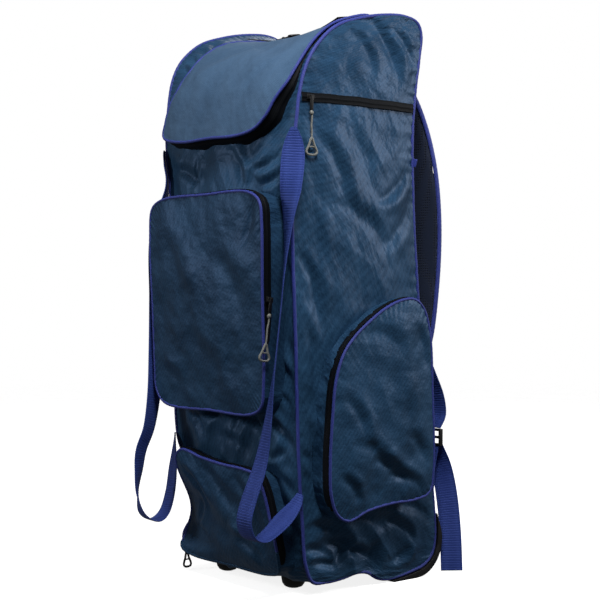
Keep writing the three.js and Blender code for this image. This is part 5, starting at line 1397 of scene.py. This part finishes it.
# across and up, as shares of the ring's size
RING_CORNERS = [(0, 0), (0.22, -0.5), (0.42, -0.95), (0.3, -1.1), (-0.3, -1.1), (-0.42, -0.95), (-0.22, -0.5)]
RING_BAR = [(-0.30, -0.62), (0, -0.60), (0.30, -0.62)]

pull_plastic, tree, shader = new_material("grey_moulded_pull", {"Roughness": 0.45, "Specular IOR Level": 0.4})
# glass-filled nylon in light grey, satin, with slight handling marks
where = add_node(tree, "ShaderNodeTexCoord")
marks = add_node(tree, "ShaderNodeTexNoise", {
    "Scale": 140.0, "Detail": 4.0,
}, {"Vector": where.outputs["Object"]})
two_tones(tree, shader, "#5f605b", "#8b8c86", marks.outputs["Fac"])
emboss(tree, shader, 0.3, 0.0003, marks.outputs["Fac"])


def join_forms(name, forms, material, slot, replaced, to_frame):
    """Several bmesh forms as one piece, placed by to_frame (n x 3 millimetres to n x 3 millimetres)."""
    whole = bmesh.new()
    for form in forms:
        made = bpy.data.meshes.new(name)
        form.to_mesh(made)
        form.free()
        whole.from_mesh(made)
        bpy.data.meshes.remove(made)
    bmesh.ops.recalc_face_normals(whole, faces=whole.faces)
    points = in_frame(to_frame(np.array([v.co[:] for v in whole.verts])))
    for vert, point in zip(whole.verts, points):
        vert.co = point
    return finish_piece(hard_edged_piece(name, whole), material, slot, replaced)


def rounded_block(size, centre, radius):
    """A block with all its edges rounded, as a bmesh of its own."""
    bm = bmesh.new()
    bmesh.ops.create_cube(bm, size=1.0)
    bmesh.ops.scale(bm, vec=size, verts=bm.verts)
    bmesh.ops.bevel(bm, geom=bm.edges[:], offset=radius, affect="EDGES", segments=3, profile=0.5, material=-1)
    bmesh.ops.translate(bm, vec=centre, verts=bm.verts)
    return bm


def wire(line, radius, reference, closed, sides=8):
    """A round wire along a line of points, as a bmesh of its own."""
    _, first, second = frames_along(line, np.tile(reference, (len(line), 1)), closed)
    bm = bmesh.new()
    rings = []
    for k in range(len(line)):
        angles = 2 * np.pi * np.arange(sides) / sides
        ring_points = line[k] + radius * (np.cos(angles)[:, None] * first[k] + np.sin(angles)[:, None] * second[k])
        ring_verts = [bm.verts.new(p) for p in ring_points]
        rings.append([bm.edges.new((ring_verts[i], ring_verts[(i + 1) % sides])) for i in range(sides)])
    for k in range(len(line) if closed else len(line) - 1):
        bmesh.ops.bridge_loops(bm, edges=rings[k] + rings[(k + 1) % len(line)])
    if not closed:
        bmesh.ops.holes_fill(bm, edges=[e for e in bm.edges if e.is_boundary])
    return bm


def hang_pull(name, place, outward, along, material, slot, neck):
    """A slider on its zip and the pull that hangs from it, both facing outward with the pull lying along."""
    back = -outward / np.linalg.norm(outward)
    up = -(along - back * (along @ back))
    up /= np.linalg.norm(up)
    turn = np.stack([np.cross(back, up), back, up])

    def seated(points):
        return place + points @ turn

    casting = [
        rounded_block((13, 2.0, 9), (0, -1.1, 0), 0.9), rounded_block((11, 1.8, 8), (0, -4.0, -0.4), 0.8),
        rounded_block((2.6, 2.2, 7.5), (0, -5.0, -0.6), 0.8), rounded_block((6, 1.6, 21), (0, -5.2, -11), 0.7),
    ]
    join_forms(
        f"{name}_slider_casting", casting, moulded_plastic, "black_moulded_plastic", f"{name}_slider", seated,
    )

    start = np.array([0, -5.0, -22 - KNOT_RADIUS - 0.3])
    ring_top = start + (0, 0, 2 - neck)
    knot = bmesh.new()
    bmesh.ops.create_uvsphere(knot, u_segments=16, v_segments=10, radius=KNOT_RADIUS)
    bmesh.ops.scale(knot, vec=(1, 0.85, 1.15), verts=knot.verts)
    bmesh.ops.translate(knot, vec=start, verts=knot.verts)
    t = np.linspace(0, 1, 15)
    neck_line = start + np.stack([0.9 * np.sin(3 * np.pi * t) * (1 - t), 0 * t, -neck * t], 1)
    corners, bar = (np.array([(a, 0, b) for a, b in table]) * PULL_RING for table in (RING_CORNERS, RING_BAR))
    ring_line = closed_curve(corners, np.arange(0, 1, 1 / 42)) + ring_top
    across = (0, 1, 0)
    forms = [
        knot, wire(neck_line, NECK_RADIUS, across, False), wire(ring_line, RING_WIRE, across, True),
        wire(bar + ring_top, BAR_WIRE, across, False),
    ]
    join_forms(f"{name}_pull_cord", forms, material, slot, f"{name}_pull", seated)


side_y = side_zip_y[0] + 14.6
here = np.array([side_y])
level = side_reach(here, np.array([SIDE_ZIP_Z]))[0]
slope = side_reach(here + 1, np.array([SIDE_ZIP_Z]))[0] - level
hang_pull(
    "side_zip", settle(np.array([[level + 2.2, side_y, SIDE_ZIP_Z]]))[0], np.array([1, -slope, 0]),
    np.array([0, 0, -1.0]), pull_plastic, "grey_moulded_pull", PULL_NECK,
)


def pocket_slider(pocket, t, along, material, slot, neck):
    """Hangs a slider and its pull on a pocket's zip, at a share of the pocket's outline."""
    share = np.array([t])
    reach = pocket.rim(share) - TRIM_RADIUS - 0.6 - ZIP_WIDTH / 2
    outer, inner = (pocket.drawn_in(share, -out) for out in (3.4, 2.4))
    edge, under = (settle(pocket.on_panel(p[:, 0], p[:, 1], reach))[0] for p in (outer, inner))
    hang_pull(pocket.name, edge, edge - under, along, material, slot, neck)


pocket_slider(
    front_pocket, 2 / 32, np.array([-0.1, -0.12, -1]), pull_plastic, "grey_moulded_pull", 1.1 * PULL_NECK,
)
pocket_slider(
    lower_pocket, 21 / 32, np.array([-0.6, -0.2, -0.6]), moulded_plastic, "black_moulded_plastic",
    0.15 * PULL_NECK,
)
# the lid's slider stands on the rear band of black tape, a little in from the lid's edge
LID_SLIDER_T, LID_SLIDER_SHARE, LID_SLIDER_RISE = 0.60, 0.93, 4.1
at_slider = np.array([LID_SLIDER_T])
lid_slider_place = settle(lid_point(at_slider, LID_SLIDER_SHARE, lid_lift(at_slider) + LID_SLIDER_RISE))[0]
_, _, slider_out_y, slider_out_z, _ = seam_at(closed_curve(LID_EDGE, at_slider)[:, 1])
hang_pull(
    "lid_zip", lid_slider_place, np.array([0, slider_out_y[0], slider_out_z[0]]), np.array([1, -0.2, -0.14]),
    moulded_plastic, "black_moulded_plastic", 0.5 * PULL_NECK,
)
